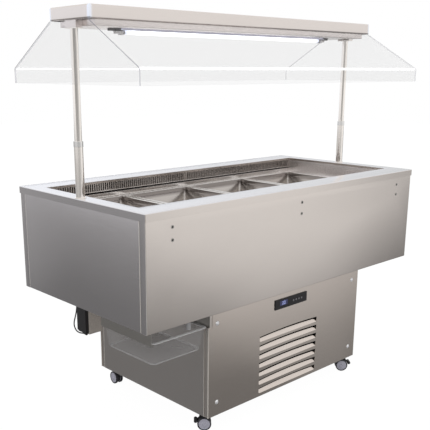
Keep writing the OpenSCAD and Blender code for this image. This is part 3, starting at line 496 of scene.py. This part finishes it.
# ---- Evaporator and fan -----------------------------------------------------------------------
# The finned aluminium coil on the well's floor and the plate that holds its fan. The black
# fan turns on the shaft of the motor behind it.
fin_metal = steel("fin_metal", tone(198, 200, 204), ALONG_Z, 0.36)
fin_metal.on(dressed("evaporator", soft=0))
fan_plastic = Finish("fan_plastic")
fan_grit = fan_plastic.noise(NO_GRAIN, 900)
fan_plastic.feed("Base Color", fan_plastic.tint(tone(44, 42, 44), fan_grit * 0.3 + 0.85))
fan_plastic.feed("Roughness", fan_grit * 0.2 + 0.35)
fan_plastic.bump(fan_grit, 0.2, 0.0002)
fan_plastic.on(dressed("evaporator_fan", soft=0))


# ---- Posts ------------------------------------------------------------------------------------
# Each post is a polished rod that slides in a welded sleeve, clamped by a collar. The sleeve
# passes through a flange on the worktop and is welded to the body's floor.
post_steel = steel("post_steel", tone(244, 238, 232), ALONG_Z, 0.16, 0.12)
post_steel.on(dressed("post_sleeves"), dressed("post_rods", soft=0.0003), dressed("post_flanges"))
collar_steel = steel("collar_steel", tone(226, 224, 222), ALONG_Z, 0.14)
collar_steel.on(dressed("post_collars", soft=0.0008))


# ---- Canopy -----------------------------------------------------------------------------------
# A shallow cover of folded stainless sheet with rounded corners over a narrower tray. Folded
# brackets at both ends stand on the plates on top of the rods and carry them.
cover = dressed("canopy_cover", [
    (both(lambda p: abs(p.x) > 0.7259 and abs(p.y) > 0.1099), 0.006, 8),
    (both(lambda p: 0.7247 < abs(p.x) < 0.7249 and 0.1087 < abs(p.y) < 0.1089), 0.0048, 8),
    (both(lambda p: p.z > 1.4439), 0.0022, 4)], 0.0003)
tray_corner = both(lambda p: abs(p.x) > 0.6949 and abs(p.y) > 0.0959)
tray_foot = both(lambda p: p.z < 1.3839)
tray_bends = [(lambda a, b: tray_corner(a, b) or tray_foot(a, b), 0.0016, 3)]
canopy_tray = dressed("canopy_tray", tray_bends)
# Painted highlight: the cover's rounded front corners are painted bluish white.
canopy_steel = steel("canopy_steel", lambda made, x, y, z: made.mix(
    abs(x).within(0.712, 0.721) * abs(y).within(0.096, 0.105),
    tone(221, 213, 208), tone(238, 242, 252)), ALONG_X, 0.24)
canopy_steel.on(cover)
tray_steel = steel("tray_steel", tone(228, 220, 217), ALONG_X, 0.26)
tray_steel.on(canopy_tray, dressed("canopy_brackets", soft=0.0006))


# ---- Lamp -------------------------------------------------------------------------------------
# A white enamelled reflector under the canopy's tray, and a glass tube with metal caps that
# clips into a holder at each end. The tube is lit, and the reflector's glow is painted lamp light,
# brightest over the tube.
def turned(profile, place=None, steps=48, form=None):
    """A closed solid turned from points (r, h): (r cos t, r sin t, h) for t over a full turn,
    set down by a matrix. Points with r = 0 close the ends."""
    form = form or bmesh.new()
    place = place or Matrix()
    angles = np.linspace(0, 2 * np.pi, steps, endpoint=False)
    rows = []
    for r, h in profile:
        spots = [(0, 0, h)] if r == 0 else [(r * np.cos(t), r * np.sin(t), h) for t in angles]
        rows.append([form.verts.new(place @ Vector(spot)) for spot in spots])
    closed = profile[0][0] != 0
    for low, high in zip(rows, rows[1:] + ([rows[0]] if closed else [])):
        for i in range(steps):
            j = (i + 1) % steps
            corners = [row[k % len(row)] for row, k in ((low, i), (low, j), (high, j), (high, i))]
            corners = list(dict.fromkeys(corners))
            if len(corners) > 2:
                form.faces.new(corners)
    return form


LAMP_HALF, LAMP_Z, LAMP_R = 0.522, 1.373, 0.0075
lying = Matrix.Translation((-LAMP_HALF, 0, LAMP_Z)) @ Matrix.Rotation(np.pi / 2, 4, "Y")
long = 2 * LAMP_HALF
cap = [(0, 0), (0.0068, 0), (LAMP_R, 0.0008), (LAMP_R, 0.009), (0.0071, 0.0096)]
tube_form = turned(cap + [(r, long - h) for r, h in cap[::-1]], lying, 32)
tube = settle("lamp_tube_skin", tube_form, "lamp_tube", 0, 40)
glow = Finish("lamp_glow", Roughness=0.2, Emission_Strength=1.15)
glow_x, _, _ = glow.axes()
near_cap = abs(glow_x).within(LAMP_HALF - 0.05, LAMP_HALF - 0.012)
glow_tone = glow.mix(near_cap, tone(252, 253, 255), tone(196, 200, 214))
is_cap = abs(glow_x) > LAMP_HALF - 0.0093
glow.feed("Base Color", glow.mix(is_cap, glow_tone, tone(170, 168, 166)))
glow.feed("Emission Color", glow.mix(is_cap, glow_tone, grey(0)))
glow.feed("Metallic", is_cap)
glow.on(tube)
# Painted light: the reflector glows bluish white over the tube and greyer to its sides, for the
# lamp's light falling on it.
enamel = Finish("white_enamel_painted_glow", Roughness=0.28, Emission_Strength=0.45)
_, enamel_y, _ = enamel.axes()
enamel_peel = enamel.noise(NO_GRAIN, 300)
enamel.feed("Base Color", enamel.tint(tone(246, 247, 250), enamel_peel * 0.04 + 0.97))
painted_lamp_glow = 1 - abs(enamel_y).within(0.006, 0.022)
enamel.feed("Emission Color", enamel.mix(painted_lamp_glow, tone(120, 124, 140), tone(222, 228, 255)))
enamel.bump(enamel_peel, 0.1, 0.0003)
enamel.on(dressed("lamp_reflector", soft=0.0003))
holder_plastic = Finish("holder_plastic")
holder_grit = holder_plastic.noise(NO_GRAIN, 800)
_, _, holder_z = holder_plastic.axes()
is_foot = holder_z.within(1.3745, 1.3765)
foot_tone = holder_plastic.mix(is_foot, tone(240, 238, 238), tone(92, 90, 92))
holder_plastic.feed("Base Color", holder_plastic.tint(foot_tone, holder_grit * 0.2 + 0.9))
holder_plastic.feed("Roughness", holder_grit * 0.2 + 0.35)
holder_plastic.on(dressed("lamp_holders", soft=0.0006))


# ---- Guards -----------------------------------------------------------------------------------
# Sheets of clear plastic 4 mm thick that hang from the canopy on its front, back and ends. The
# long ones are bent twice and clipped behind the cover's edge, and the flat end ones meet them.
def filleted(path, radius, steps=8):
    """A path whose inner corners become arcs, which start radius tan(turn / 2) from the corner."""
    points = [np.array(path[0], float)]
    for before, at, after in zip(path, path[1:], path[2:]):
        before, at, after = (np.array(p, float) for p in (before, at, after))
        into = (at - before) / np.linalg.norm(at - before)
        away = (after - at) / np.linalg.norm(after - at)
        half = np.arccos(np.clip(into @ away, -1, 1)) / 2
        start, end = at - into * radius * np.tan(half), at + away * radius * np.tan(half)
        inward = away - into
        centre = at + inward / np.linalg.norm(inward) * radius / np.cos(half)
        first, last = start - centre, end - centre
        for t in np.linspace(0, 1, steps + 1):
            spoke = np.sin((1 - t) * 2 * half) * first + np.sin(t * 2 * half) * last
            points.append(centre + spoke / np.sin(2 * half))
    return points + [np.array(path[-1], float)]


def thickened(path, thick):
    """The closed outline of a strip of that thickness along a path, half to each side."""
    path = np.array(path)
    ahead = np.gradient(path, axis=0)
    ahead[0], ahead[-1] = path[1] - path[0], path[-1] - path[-2]
    side = np.stack([-ahead[:, 1], ahead[:, 0]], 1)
    side /= np.linalg.norm(side, axis=1)[:, None]
    return np.concatenate([path + side * thick / 2, (path - side * thick / 2)[::-1]])


def drawn_along_x(outline, half):
    """A prism over an outline of points (y, z), from x = -half to x = half."""
    return loft([[(x, y, z) for y, z in outline] for x in (-half, half)])


GUARD_PATH = [(0.1045, 1.414), (0.1045, 1.400), (0.345, 1.257), (0.345, 1.209)]
GUARD_HALF, GUARD_THICK, GUARD_BEND, GUARD_FOOT = 0.7247, 0.004, 0.011, 1.2095
clear = Finish("clear_sheet", Roughness=0.04, IOR=1.3, Emission_Strength=1.0)
clear_cloud = clear.noise(NO_GRAIN, 4)
clear_x, clear_y, clear_z = clear.axes()
# Painted highlight: a band along the long sheets' lower bend is made white, more solid and glowing.
at_bend = 1 - abs(clear_z - 1.2572).within(0.0025, 0.006)
bent = at_bend * (abs(clear_y) > 0.33) * (abs(clear_x) < 0.722)
clear_grey = clear.tint((0.47, 0.47, 0.48, 1), clear_cloud * 0.1 + 0.95)
clear.feed("Base Color", clear.mix(bent, clear_grey, grey(1)))
clear.feed("Emission Color", clear.mix(bent, grey(0), grey(0.8)))
clear.feed("Alpha", bent * 0.5 + 0.052)
edge = Finish("clear_edge", Roughness=0.15)
edge_saw = edge.noise(NO_GRAIN, 500)
edge_x, _, edge_z = edge.axes()
# Painted highlight: round the lower bend the ends' edges are painted paler and more solid.
edge_glint = abs(edge_x).within(0.7262, 0.7267) * edge_z.within(1.245, 1.262)
edge_tone = edge.mix(edge_glint, tone(196, 194, 208), tone(92, 88, 94))
edge.feed("Base Color", edge.tint(edge_tone, edge_saw * 0.3 + 0.85))
edge.feed("Alpha", edge_glint * 0.3 + 0.42)
for node, side in (("guard_front", -1), ("guard_back", 1)):
    outline = thickened(filleted(GUARD_PATH, GUARD_BEND), GUARD_THICK) * (side, 1)
    guard = settle(f"{node}_skin", drawn_along_x(outline, GUARD_HALF), node, 0.0003, 40)
    clear.on(guard)
    edge.on(guard)
    for face in guard.data.polygons:
        low_edge = face.center.z < GUARD_FOOT and face.normal.z < -0.9
        face.material_index = int(abs(face.normal.x) > 0.9 or low_edge)
guard_bend = both(lambda p: abs(p.y) > 0.3 and 1.24 < p.z < 1.275)
end_corners = [(lambda a, b: guard_bend(a, b) and abs(a.x - b.x) > 0.003, 0.007, 6)]
guard_ends = dressed("guard_ends", end_corners, 0.0003)
clear.on(guard_ends)
edge.on(guard_ends)
for face in guard_ends.data.polygons:
    face.material_index = int(abs(face.normal.x) < 0.5)


# ---- Cabinet ----------------------------------------------------------------------------------
# The lower cabinet hangs under the counter on four corner posts. Its front and back panels each
# carry seven arched louvres, each with a leaf that slopes inwards from its foot.
def plate(outer, holes, thick):
    """A flat plate between y = 0 and y = thick with outlines of points (x, z). A plane curve
    fills the outline less its holes, and its faces are then drawn out to the thickness."""
    curve = bpy.data.curves.new("outline", "CURVE")
    curve.dimensions, curve.fill_mode = "2D", "BOTH"
    curve.extrude = thick / 2
    for outline in [outer] + list(holes):
        spline = curve.splines.new("POLY")
        spline.points.add(len(outline) - 1)
        spline.points.foreach_set("co", [part for x, z in outline for part in (x, z, 0, 1)])
        spline.use_cyclic_u = True
    holder = bpy.data.objects.new("outline", curve)
    mesh = bpy.data.meshes.new_from_object(holder)
    made = bmesh.new()
    made.from_mesh(mesh)
    for vert in made.verts:
        vert.co = (vert.co.x, thick / 2 - vert.co.z, vert.co.y)
    bmesh.ops.remove_doubles(made, verts=made.verts, dist=1e-6)
    bmesh.ops.dissolve_limit(made, angle_limit=0.003, verts=made.verts, edges=made.edges)
    bpy.data.objects.remove(holder)
    bpy.data.curves.remove(curve)
    return made


def louvre_outline(middle):
    """A straight foot, rounded lower corners and an arched top of radius
    (half^2 + rise^2) / (2 rise) that rises by rise over the middle."""
    half, tall, rise, corner = 0.168, 0.020, 0.005, 0.005
    radius = (half ** 2 + rise ** 2) / (2 * rise)
    points = [(half - corner + corner * np.sin(t), corner - corner * np.cos(t))
              for t in np.linspace(0, np.pi / 2, 5)]
    lift = np.arcsin(half / radius)
    points += [(radius * np.sin(t), tall + rise - radius + radius * np.cos(t))
               for t in np.linspace(lift, -lift, 33)]
    points += [(-x, z) for x, z in points[4::-1]]
    return [(x + middle, z) for x, z in points]


def leaf_outline(tall, middle):
    """A leaf with round ends: its foot is straight and its top edge the parabola
    z = tall + rise (1 - (x / flat)^2) over the flat length between the rounded ends."""
    half, rise, low_r, high_r = 0.1675, 0.004, 0.4 * tall, 0.55 * tall
    points = [(half - low_r + low_r * np.sin(t), low_r - low_r * np.cos(t))
              for t in np.linspace(0, np.pi / 2, 7)]
    flat = half - high_r
    points += [(flat + high_r * np.cos(t), tall - high_r + high_r * np.sin(t))
               for t in np.linspace(0.1, np.pi / 2, 7)]
    points += [(x, tall + rise * (1 - (x / flat) ** 2)) for x in np.linspace(flat, 0, 13)[1:]]
    points += [(-x, z) for x, z in points[-2::-1]]
    return [(x + middle, z) for x, z in points]


LOUVRE_X, LOUVRE_Z, LOUVRE_PITCH, LOUVRE_SLOPE = 0.0057, 0.080, 0.0342, 38
LEAF_HEIGHTS = (0.0140, 0.0135, 0.0124, 0.0130, 0.0127, 0.0132, 0.0137)
CAB_LEFT, CAB_RIGHT, CAB_FRONT, CAB_LOW, CAB_HIGH = -0.425, 0.441, -0.318, 0.067, 0.467
SHEET, FOLD = 0.0012, 0.0028
NOTCH_X, NOTCH_Z, LIP_Z = 0.018, 0.065, 0.078
CONTROL_X, CONTROL_Z, CONTROL_HALF_X, CONTROL_HALF_Z = 0.008, 0.409, 0.082, 0.015


def louvred(node, notched, side):
    """A louvred panel on the front (side 1) or, mirrored, on the back (side -1). A notched one
    has its top left corner cut out and an opening for the control panel."""
    outer = [(CAB_LEFT, CAB_LOW), (CAB_RIGHT, CAB_LOW), (CAB_RIGHT, CAB_HIGH)]
    outer += [(CAB_LEFT + NOTCH_X, CAB_HIGH), (CAB_LEFT + NOTCH_X, CAB_HIGH - NOTCH_Z),
              (CAB_LEFT, CAB_HIGH - NOTCH_Z)] if notched else [(CAB_LEFT, CAB_HIGH)]
    feet = [LOUVRE_Z + k * LOUVRE_PITCH for k in range(7)]
    holes = [[(x, z + foot) for x, z in louvre_outline(LOUVRE_X)] for foot in feet]
    if notched:
        holes.append([(CONTROL_X + sx * CONTROL_HALF_X, CONTROL_Z + sz * CONTROL_HALF_Z)
                      for sx, sz in ((-1, -1), (1, -1), (1, 1), (-1, 1))])
    parts = [(plate(outer, holes, SHEET), Matrix())]
    tilt = Matrix.Rotation(np.radians(-LOUVRE_SLOPE), 4, "X")
    for foot, tall in zip(feet, LEAF_HEIGHTS):
        leaf = plate(leaf_outline(tall, LOUVRE_X), [], SHEET)
        parts.append((leaf, Matrix.Translation((0, 0, foot)) @ tilt))
    left_top = CAB_HIGH - NOTCH_Z if notched else CAB_HIGH
    for x, top in ((CAB_LEFT, left_top), (CAB_RIGHT - SHEET, CAB_HIGH)):
        fold = bmesh.new()
        bmesh.ops.create_cube(fold, size=1.0)
        middle = (x + SHEET / 2, SHEET + FOLD / 2, (CAB_LOW + top) / 2)
        parts.append((fold, Matrix.LocRotScale(middle, None, (SHEET, FOLD, top - CAB_LOW))))
    whole = bmesh.new()
    for part, place in parts:
        spare = bpy.data.meshes.new("spare")
        part.transform(Matrix.Translation((0, CAB_FRONT, 0)) @ place)
        part.to_mesh(spare)
        part.free()
        whole.from_mesh(spare)
        bpy.data.meshes.remove(spare)
    if side < 0:
        whole.transform(Matrix.Diagonal((1, -1, 1, 1)))
    return settle(f"{node}_skin", whole, node, 0.0002, 40)


# The cabinet's left fold carries a painted highlight.
cabinet_steel = steel("cabinet_steel", tone(211, 201, 193), ALONG_X, 0.24,
                      painted_glint=lambda x, y, z: (x < -0.4236) * 0.8)
cabinet_steel.on(louvred("cabinet_front_panel", True, 1), louvred("cabinet_back_panel", False, -1))


def low_lip(point):
    """The base's upturned lips end at LIP_Z, below the lowest louvre."""
    return (point.x, point.y, min(point.z, LIP_Z))


# The corners of the side panels and the base carry painted highlights.
side_steel = steel("side_steel", tone(206, 200, 196), ALONG_Y, 0.26, 0.04,
                   painted_glint=lambda x, y, z: (abs(x - 0.008) > 0.4325) * (abs(y) > 0.2945) * 0.7)
side_steel.on(dressed("cabinet_side_panels"), dressed("cabinet_base", reshape=low_lip))
leg_steel = steel("leg_steel", tone(212, 204, 198), ALONG_Z, 0.24)
leg_steel.on(dressed("corner_posts"))
screw_steel = Finish("screw_steel", Metallic=0.55)
screw_turn = screw_steel.noise(NO_GRAIN, 500)
screw_steel.feed("Base Color", screw_steel.tint(tone(244, 244, 246), screw_turn * 0.1 + 0.95))
screw_steel.feed("Roughness", screw_turn * 0.2 + 0.2)
screw_steel.on(dressed("panel_screws", soft=0.0002))


# ---- Control panel ----------------------------------------------------------------------------
# A glossy black plate with a sunk display and four small keys, clipped into an opening above
# the front louvres. The display shows a temperature in plain bar digits.
gloss_black = Finish("gloss_black", Specular_IOR_Level=0.25)
smear = gloss_black.noise((1, 1, 2), 40, 3)
gloss_black.feed("Base Color", gloss_black.tint(tone(34, 32, 34), smear * 0.3 + 0.85))
gloss_black.feed("Roughness", smear * 0.2 + 0.12)
gloss_black.on(dressed("control_panel", soft=0.0006))
pane = Finish("display_pane", Emission_Strength=0.25)
pane_x, _, _ = pane.axes()
pane_share = pane.noise(NO_GRAIN, 60) * 0.3 + 0.85
is_key = pane_x > 0.005
pane_tone = pane.mix(is_key, tone(34, 34, 58), tone(116, 114, 118))
pane.feed("Base Color", pane.tint(pane_tone, pane_share))
pane.feed("Emission Color", pane.mix(is_key, tone(70, 74, 130), grey(0)))
pane.feed("Roughness", pane_share * 0.2)
pane.on(dressed("control_display", soft=0.0003))
BARS = {"top": (0, 6, 4.2, 1), "middle": (0, 0, 4.2, 1), "foot": (0, -6, 4.2, 1),
        "upper_left": (-2.4, 3, 1, 4.8), "upper_right": (2.4, 3, 1, 4.8),
        "lower_left": (-2.4, -3, 1, 4.8), "lower_right": (2.4, -3, 1, 4.8), "dot": (4.4, -6, 1, 1)}
DIGITS = ((-42, ("top", "upper_right", "middle", "lower_right", "foot", "dot")),
          (-31, ("top", "upper_left", "upper_right", "lower_left", "lower_right", "foot")))
DISPLAY_Y, DISPLAY_Z, NICK = -0.3209, 0.411, 0.0004
digit_form = bmesh.new()
for digit_x, names in DIGITS:
    for name in names:
        x, z, wide, tall = BARS[name]
        half_x, half_z = wide / 2000, tall / 2000
        middle = Matrix.Translation(((digit_x + x) / 1000, DISPLAY_Y, DISPLAY_Z + z / 1000))
        outline = [(half_x - NICK, half_z), (half_x, half_z - NICK), (half_x, NICK - half_z),
                   (half_x - NICK, -half_z), (NICK - half_x, -half_z), (-half_x, NICK - half_z),
                   (-half_x, half_z - NICK), (NICK - half_x, half_z)]
        loft([[middle @ Vector((px, py, pz)) for px, pz in outline]
              for py in (-0.00015, 0.00015)], digit_form)
bmesh.ops.recalc_face_normals(digit_form, faces=digit_form.faces)
digit_mesh = bpy.data.meshes.new("display_digits")
digit_form.to_mesh(digit_mesh)
digit_form.free()
display_digits = bpy.data.objects.new("display_digits", digit_mesh)
bpy.context.scene.collection.objects.link(display_digits)
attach(display_digits, "base")
digit_light = Finish("digit_light", Roughness=0.3, Emission_Strength=1.0)
digit_fade = digit_light.noise(NO_GRAIN, 300)
digit_light.feed("Base Color", digit_light.tint(tone(170, 190, 255), digit_fade * 0.2 + 0.9))
digit_light.feed("Emission Color", digit_light.tint(tone(190, 196, 255), digit_fade * 0.2 + 0.9))
digit_light.on(display_digits)


# ---- Condensing unit --------------------------------------------------------------------------
# The cooling plant in the cabinet: a black welded compressor on rubber feet, the finned coil
# and its fan behind the front louvres, and copper pipes that rise into the well.
can_enamel = Finish("can_enamel", Coat_Weight=0.3)
can_peel = can_enamel.noise(NO_GRAIN, 250)
can_enamel.feed("Base Color", can_enamel.tint(tone(38, 38, 41), can_peel * 0.3 + 0.85))
can_enamel.feed("Roughness", can_peel * 0.2 + 0.3)
can_enamel.bump(can_peel, 0.15, 0.0005)
can_enamel.on(dressed("compressor", soft=0.0006))
copper = Finish("copper", Metallic=1.0)
stain = copper.noise(NO_GRAIN, 25, 4).within(0.45, 0.75)
copper.feed("Base Color", copper.mix(stain, tone(214, 138, 100), tone(140, 84, 60)))
copper.feed("Roughness", stain * 0.3 + 0.24)
copper.on(dressed("refrigerant_pipes", soft=0))
coil_metal = steel("coil_metal", tone(118, 117, 116), ALONG_Z, 0.4)
coil_metal.on(dressed("condenser", soft=0))
rotor_metal = steel("rotor_metal", tone(176, 178, 182), NO_GRAIN, 0.32)
rotor_metal.on(dressed("condenser_fan", soft=0))


# ---- Drain tray -------------------------------------------------------------------------------
# A clear plastic tray that slides on two folded rails under the well's drain, with a flat rim
# and small ribs on its left and front sides. The drain's pale plastic tube ends above it.
TRAY_LOW, TRAY_HIGH, TRAY_Z, TRAY_DEPTH = (-706, -357), (-461, -80), 430, 82
tray_half = ((TRAY_HIGH[0] - TRAY_LOW[0]) / 2, (TRAY_HIGH[1] - TRAY_LOW[1]) / 2)
tray_middle = ((TRAY_HIGH[0] + TRAY_LOW[0]) / 2, (TRAY_HIGH[1] + TRAY_LOW[1]) / 2, TRAY_Z)
TRAY_OUTSIDE = [(-TRAY_DEPTH, 25, 14), (-TRAY_DEPTH + 1, 21, 17), (-TRAY_DEPTH + 4, 18, 18),
                (-TRAY_DEPTH + 10, 16, 18), (-14, 10.8, 18), (-6, 10.3, 18), (-3.4, 10.3, 18),
                (-2.6, 9.6, 18.5), (-2.5, 1, 22), (-2.0, 0.2, 22), (-0.6, 0.2, 22), (0, 1, 22)]
TRAY_INSIDE = [(-0.1, 11.4, 15), (-1.2, 13, 14.5), (-14, 13.4, 14), (-TRAY_DEPTH + 10, 18.6, 14),
               (-TRAY_DEPTH + 4, 22, 13), (-TRAY_DEPTH + 2.5, 27, 11)]
tray_rows = [ring(tray_half[0] - inset, tray_half[1] - inset, corner, z, 9) + tray_middle
             for z, inset, corner in TRAY_OUTSIDE + TRAY_INSIDE]
tray_form = loft([row / 1000 for row in tray_rows])
RIBS = ((-697, -132, 1, 0), (-697, -262, 1, 0), (-624, -348, 0, 1), (-540, -348, 0, 1))
RIB_SECTION = ((-1.6, -2), (-0.96, 1.2), (0.96, 1.2), (1.6, -2))
for at_x, at_y, out_x, out_y in RIBS:
    rib = [(s * out_y - w * out_x, s * out_x - w * out_y) for s, w in RIB_SECTION]
    loft([[((at_x + dx + lean * out_x) / 1000, (at_y + dy + lean * out_y) / 1000, z / 1000)
           for dx, dy in rib] for z, lean in ((384, 2.4), (426.5, 0))], tray_form)
tray = settle("drain_tray_skin", tray_form, "drain_tray", 0.0003, 40)
tray_clear = Finish("tray_clear", Roughness=0.08, IOR=1.45)
_, _, tray_z = tray_clear.axes()
tray_haze = tray_clear.noise(NO_GRAIN, 30)
# Painted highlights: bands along the rim and the rounded foot are paler and more solid, and the
# walls grow more solid where seen edge-on, standing in for their reflections.
rim_glint = tray_z.within(0.4262, 0.4275)
foot_glint = 1 - abs(tray_z - 0.3525).within(0.0015, 0.003)
tray_tone = tray_clear.mix(rim_glint.most(foot_glint), tone(186, 184, 184), tone(226, 225, 226))
tray_clear.feed("Base Color", tray_clear.tint(tray_tone, tray_haze * 0.1 + 0.95))
tray_facing = tray_clear.node("ShaderNodeLayerWeight", None, Blend=0.45).out("Facing")
tray_solid = (rim_glint * 0.55).most(foot_glint * 0.42).most(tray_facing ** 4 * 0.6)
tray_clear.feed("Alpha", tray_solid + tray_haze * 0.05 + 0.06)
tray_clear.on(tray)
rail_steel = steel("rail_steel", tone(176, 172, 167), ALONG_Y, 0.34)
rail_steel.on(dressed("drain_tray_rails"))
drain_plastic = Finish("drain_plastic")
drain_grit = drain_plastic.noise(NO_GRAIN, 400)
drain_plastic.feed("Base Color", drain_plastic.tint(tone(176, 175, 176), drain_grit * 0.1 + 0.95))
drain_plastic.feed("Roughness", drain_grit * 0.2 + 0.3)
drain_plastic.on(dressed("drain_tube"))


# ---- Lamp supply ------------------------------------------------------------------------------
# A steel junction box and the lamp's black driver hang under the counter's left end. A black
# cable leaves the driver's gland, hangs in one bend and rises into a gland in the counter.
box_steel = Finish("box_steel", Metallic=0.25)
box_at = box_steel.node("ShaderNodeTexCoord").out("Object")
spangle = box_steel.node("ShaderNodeTexVoronoi", None, box_at, Scale=160)
box_steel.feed("Base Color", box_steel.tint(tone(214, 206, 198), spangle * 0.2 + 0.85))
box_steel.feed("Roughness", spangle * 0.2 + 0.35)
box_steel.on(dressed("junction_box"))
black_plastic = Finish("black_plastic")
black_grit = black_plastic.noise(NO_GRAIN, 900)
black_plastic.feed("Base Color", black_plastic.tint(tone(36, 34, 36), black_grit * 0.3 + 0.85))
black_plastic.feed("Roughness", black_grit * 0.25 + 0.36)
black_plastic.bump(black_grit, 0.15, 0.0002)
CABLE_ROUTE = np.array([
    [-534, 262, 251.2], [-534.5, 280, 249.5], [-536.5, 299, 247], [-538.5, 314, 249],
    [-540, 324, 256], [-541, 331, 269], [-540.5, 331.5, 285], [-538, 328, 303],
    [-534.5, 324, 325], [-532, 322, 350], [-531, 322, 380], [-530.5, 322, 410],
    [-530, 322, 435], [-530, 322, 452]]) / 1000
CABLE_RADIUS = 0.00248
route = np.concatenate([CABLE_ROUTE[:1], CABLE_ROUTE, CABLE_ROUTE[-1:]])
cable_points = []
for a, b, c, d in zip(route, route[1:], route[2:], route[3:]):
    for t in np.linspace(0, 1, 6, endpoint=False):
        cable_points.append(0.5 * (2 * b + (c - a) * t + (2 * a - 5 * b + 4 * c - d) * t ** 2
                                   + (3 * b - a - 3 * c + d) * t ** 3))
cable_points = np.array(cable_points + [CABLE_ROUTE[-1]])
cable_ahead = np.gradient(cable_points, axis=0)
cable_ahead[0], cable_ahead[-1] = (0, 1, 0), (0, 0, 1)
cable_side = np.cross(cable_ahead, (1, 0, 0))
cable_side /= np.linalg.norm(cable_side, axis=1)[:, None]
cable_up = np.cross(cable_side, cable_ahead)
cable_up /= np.linalg.norm(cable_up, axis=1)[:, None]
around = np.linspace(0, 2 * np.pi, 16, endpoint=False)
cos_ring, sin_ring = CABLE_RADIUS * np.cos(around), CABLE_RADIUS * np.sin(around)
cable_rings = [point + np.outer(cos_ring, side) + np.outer(sin_ring, up)
               for point, side, up in zip(cable_points, cable_side, cable_up)]
cable = settle("lamp_cable_skin", loft(cable_rings), "lamp_cable", 0, 50)
black_plastic.on(dressed("lamp_driver", soft=0.001), dressed("cable_glands", soft=0.0005), cable)


# ---- Casters ----------------------------------------------------------------------------------
# Four swivel casters fixed by their plates under the cabinet's base. Each has two wheels with
# grey hubs and black tyres, one each side of a black fork, and the front two have a pedal.
CASTERS = {"fl": (-388.2, -277.5, 137.4), "fr": (395.2, -277.5, -42.6),
           "bl": (-388.2, 277.5, -95), "br": (395.2, 277.5, -60)}
HUB = [(0, 5.9), (22.5, 6.1), (22.5, 15.2), (22.0, 15.7), (21.3, 15.7), (20.4, 14.9), (10, 14.6),
       (8.4, 15.2), (7.2, 15.9), (3.2, 15.95), (2.6, 15.5), (0, 15.4)]
TYRE = [(22.5, 6.4), (24.6, 6.4), (25.3, 7.6), (25.38, 9), (25.38, 13), (25.3, 14.4),
        (24.6, 15.6), (22.5, 15.6)]
AXLE_Z, TRAIL, HUB_REACH = 0.0254, 0.012, 0.0231
hub_plastic = Finish("hub_plastic")
hub_grit = hub_plastic.noise(NO_GRAIN, 500)
hub_plastic.feed("Base Color", hub_plastic.tint(tone(190, 189, 202), hub_grit * 0.15 + 0.92))
hub_plastic.feed("Roughness", hub_grit * 0.2 + 0.28)
tyre_rubber = Finish("tyre_rubber")
tyre_grit = tyre_rubber.noise(NO_GRAIN, 700)
tyre_rubber.feed("Base Color", tyre_rubber.tint(tone(58, 57, 62), tyre_grit * 0.4 + 0.8))
tyre_rubber.feed("Roughness", tyre_grit * 0.2 + 0.5)
tyre_rubber.bump(tyre_grit, 0.2, 0.0003)
for corner, (x, y, turn) in CASTERS.items():
    place = (Matrix.Translation((x / 1000, y / 1000, 0)) @ Matrix.Rotation(np.radians(turn), 4, "Z")
             @ Matrix.Translation((TRAIL, 0, AXLE_Z)) @ Matrix.Rotation(np.pi / 2, 4, "X"))
    wheel_form = bmesh.new()
    for side in (1, -1):
        for section in (HUB, TYRE):
            turned([(r / 1000, side * h / 1000) for r, h in section], place, 64, wheel_form)
    turned([(0, -0.007), (0.003, -0.007), (0.003, 0.007), (0, 0.007)], place, 24, wheel_form)
    wheel = settle(f"caster_wheel_{corner}_skin", wheel_form, f"caster_wheel_{corner}", 0, 35)
    hub_plastic.on(wheel)
    tyre_rubber.on(wheel)
    points = wheel.data.vertices
    for face in wheel.data.polygons:
        nearest = min((points[i].co - place.translation).length for i in face.vertices)
        face.material_index = int(nearest > HUB_REACH)
    black_plastic.on(dressed(f"caster_yoke_{corner}", soft=0.0008))
for corner in ("fl", "fr"):
    black_plastic.on(dressed(f"brake_pedal_{corner}", soft=0.0005))
plate_steel = steel("plate_steel", tone(206, 204, 200), ALONG_X, 0.3)
plate_steel.on(dressed("caster_plates"))
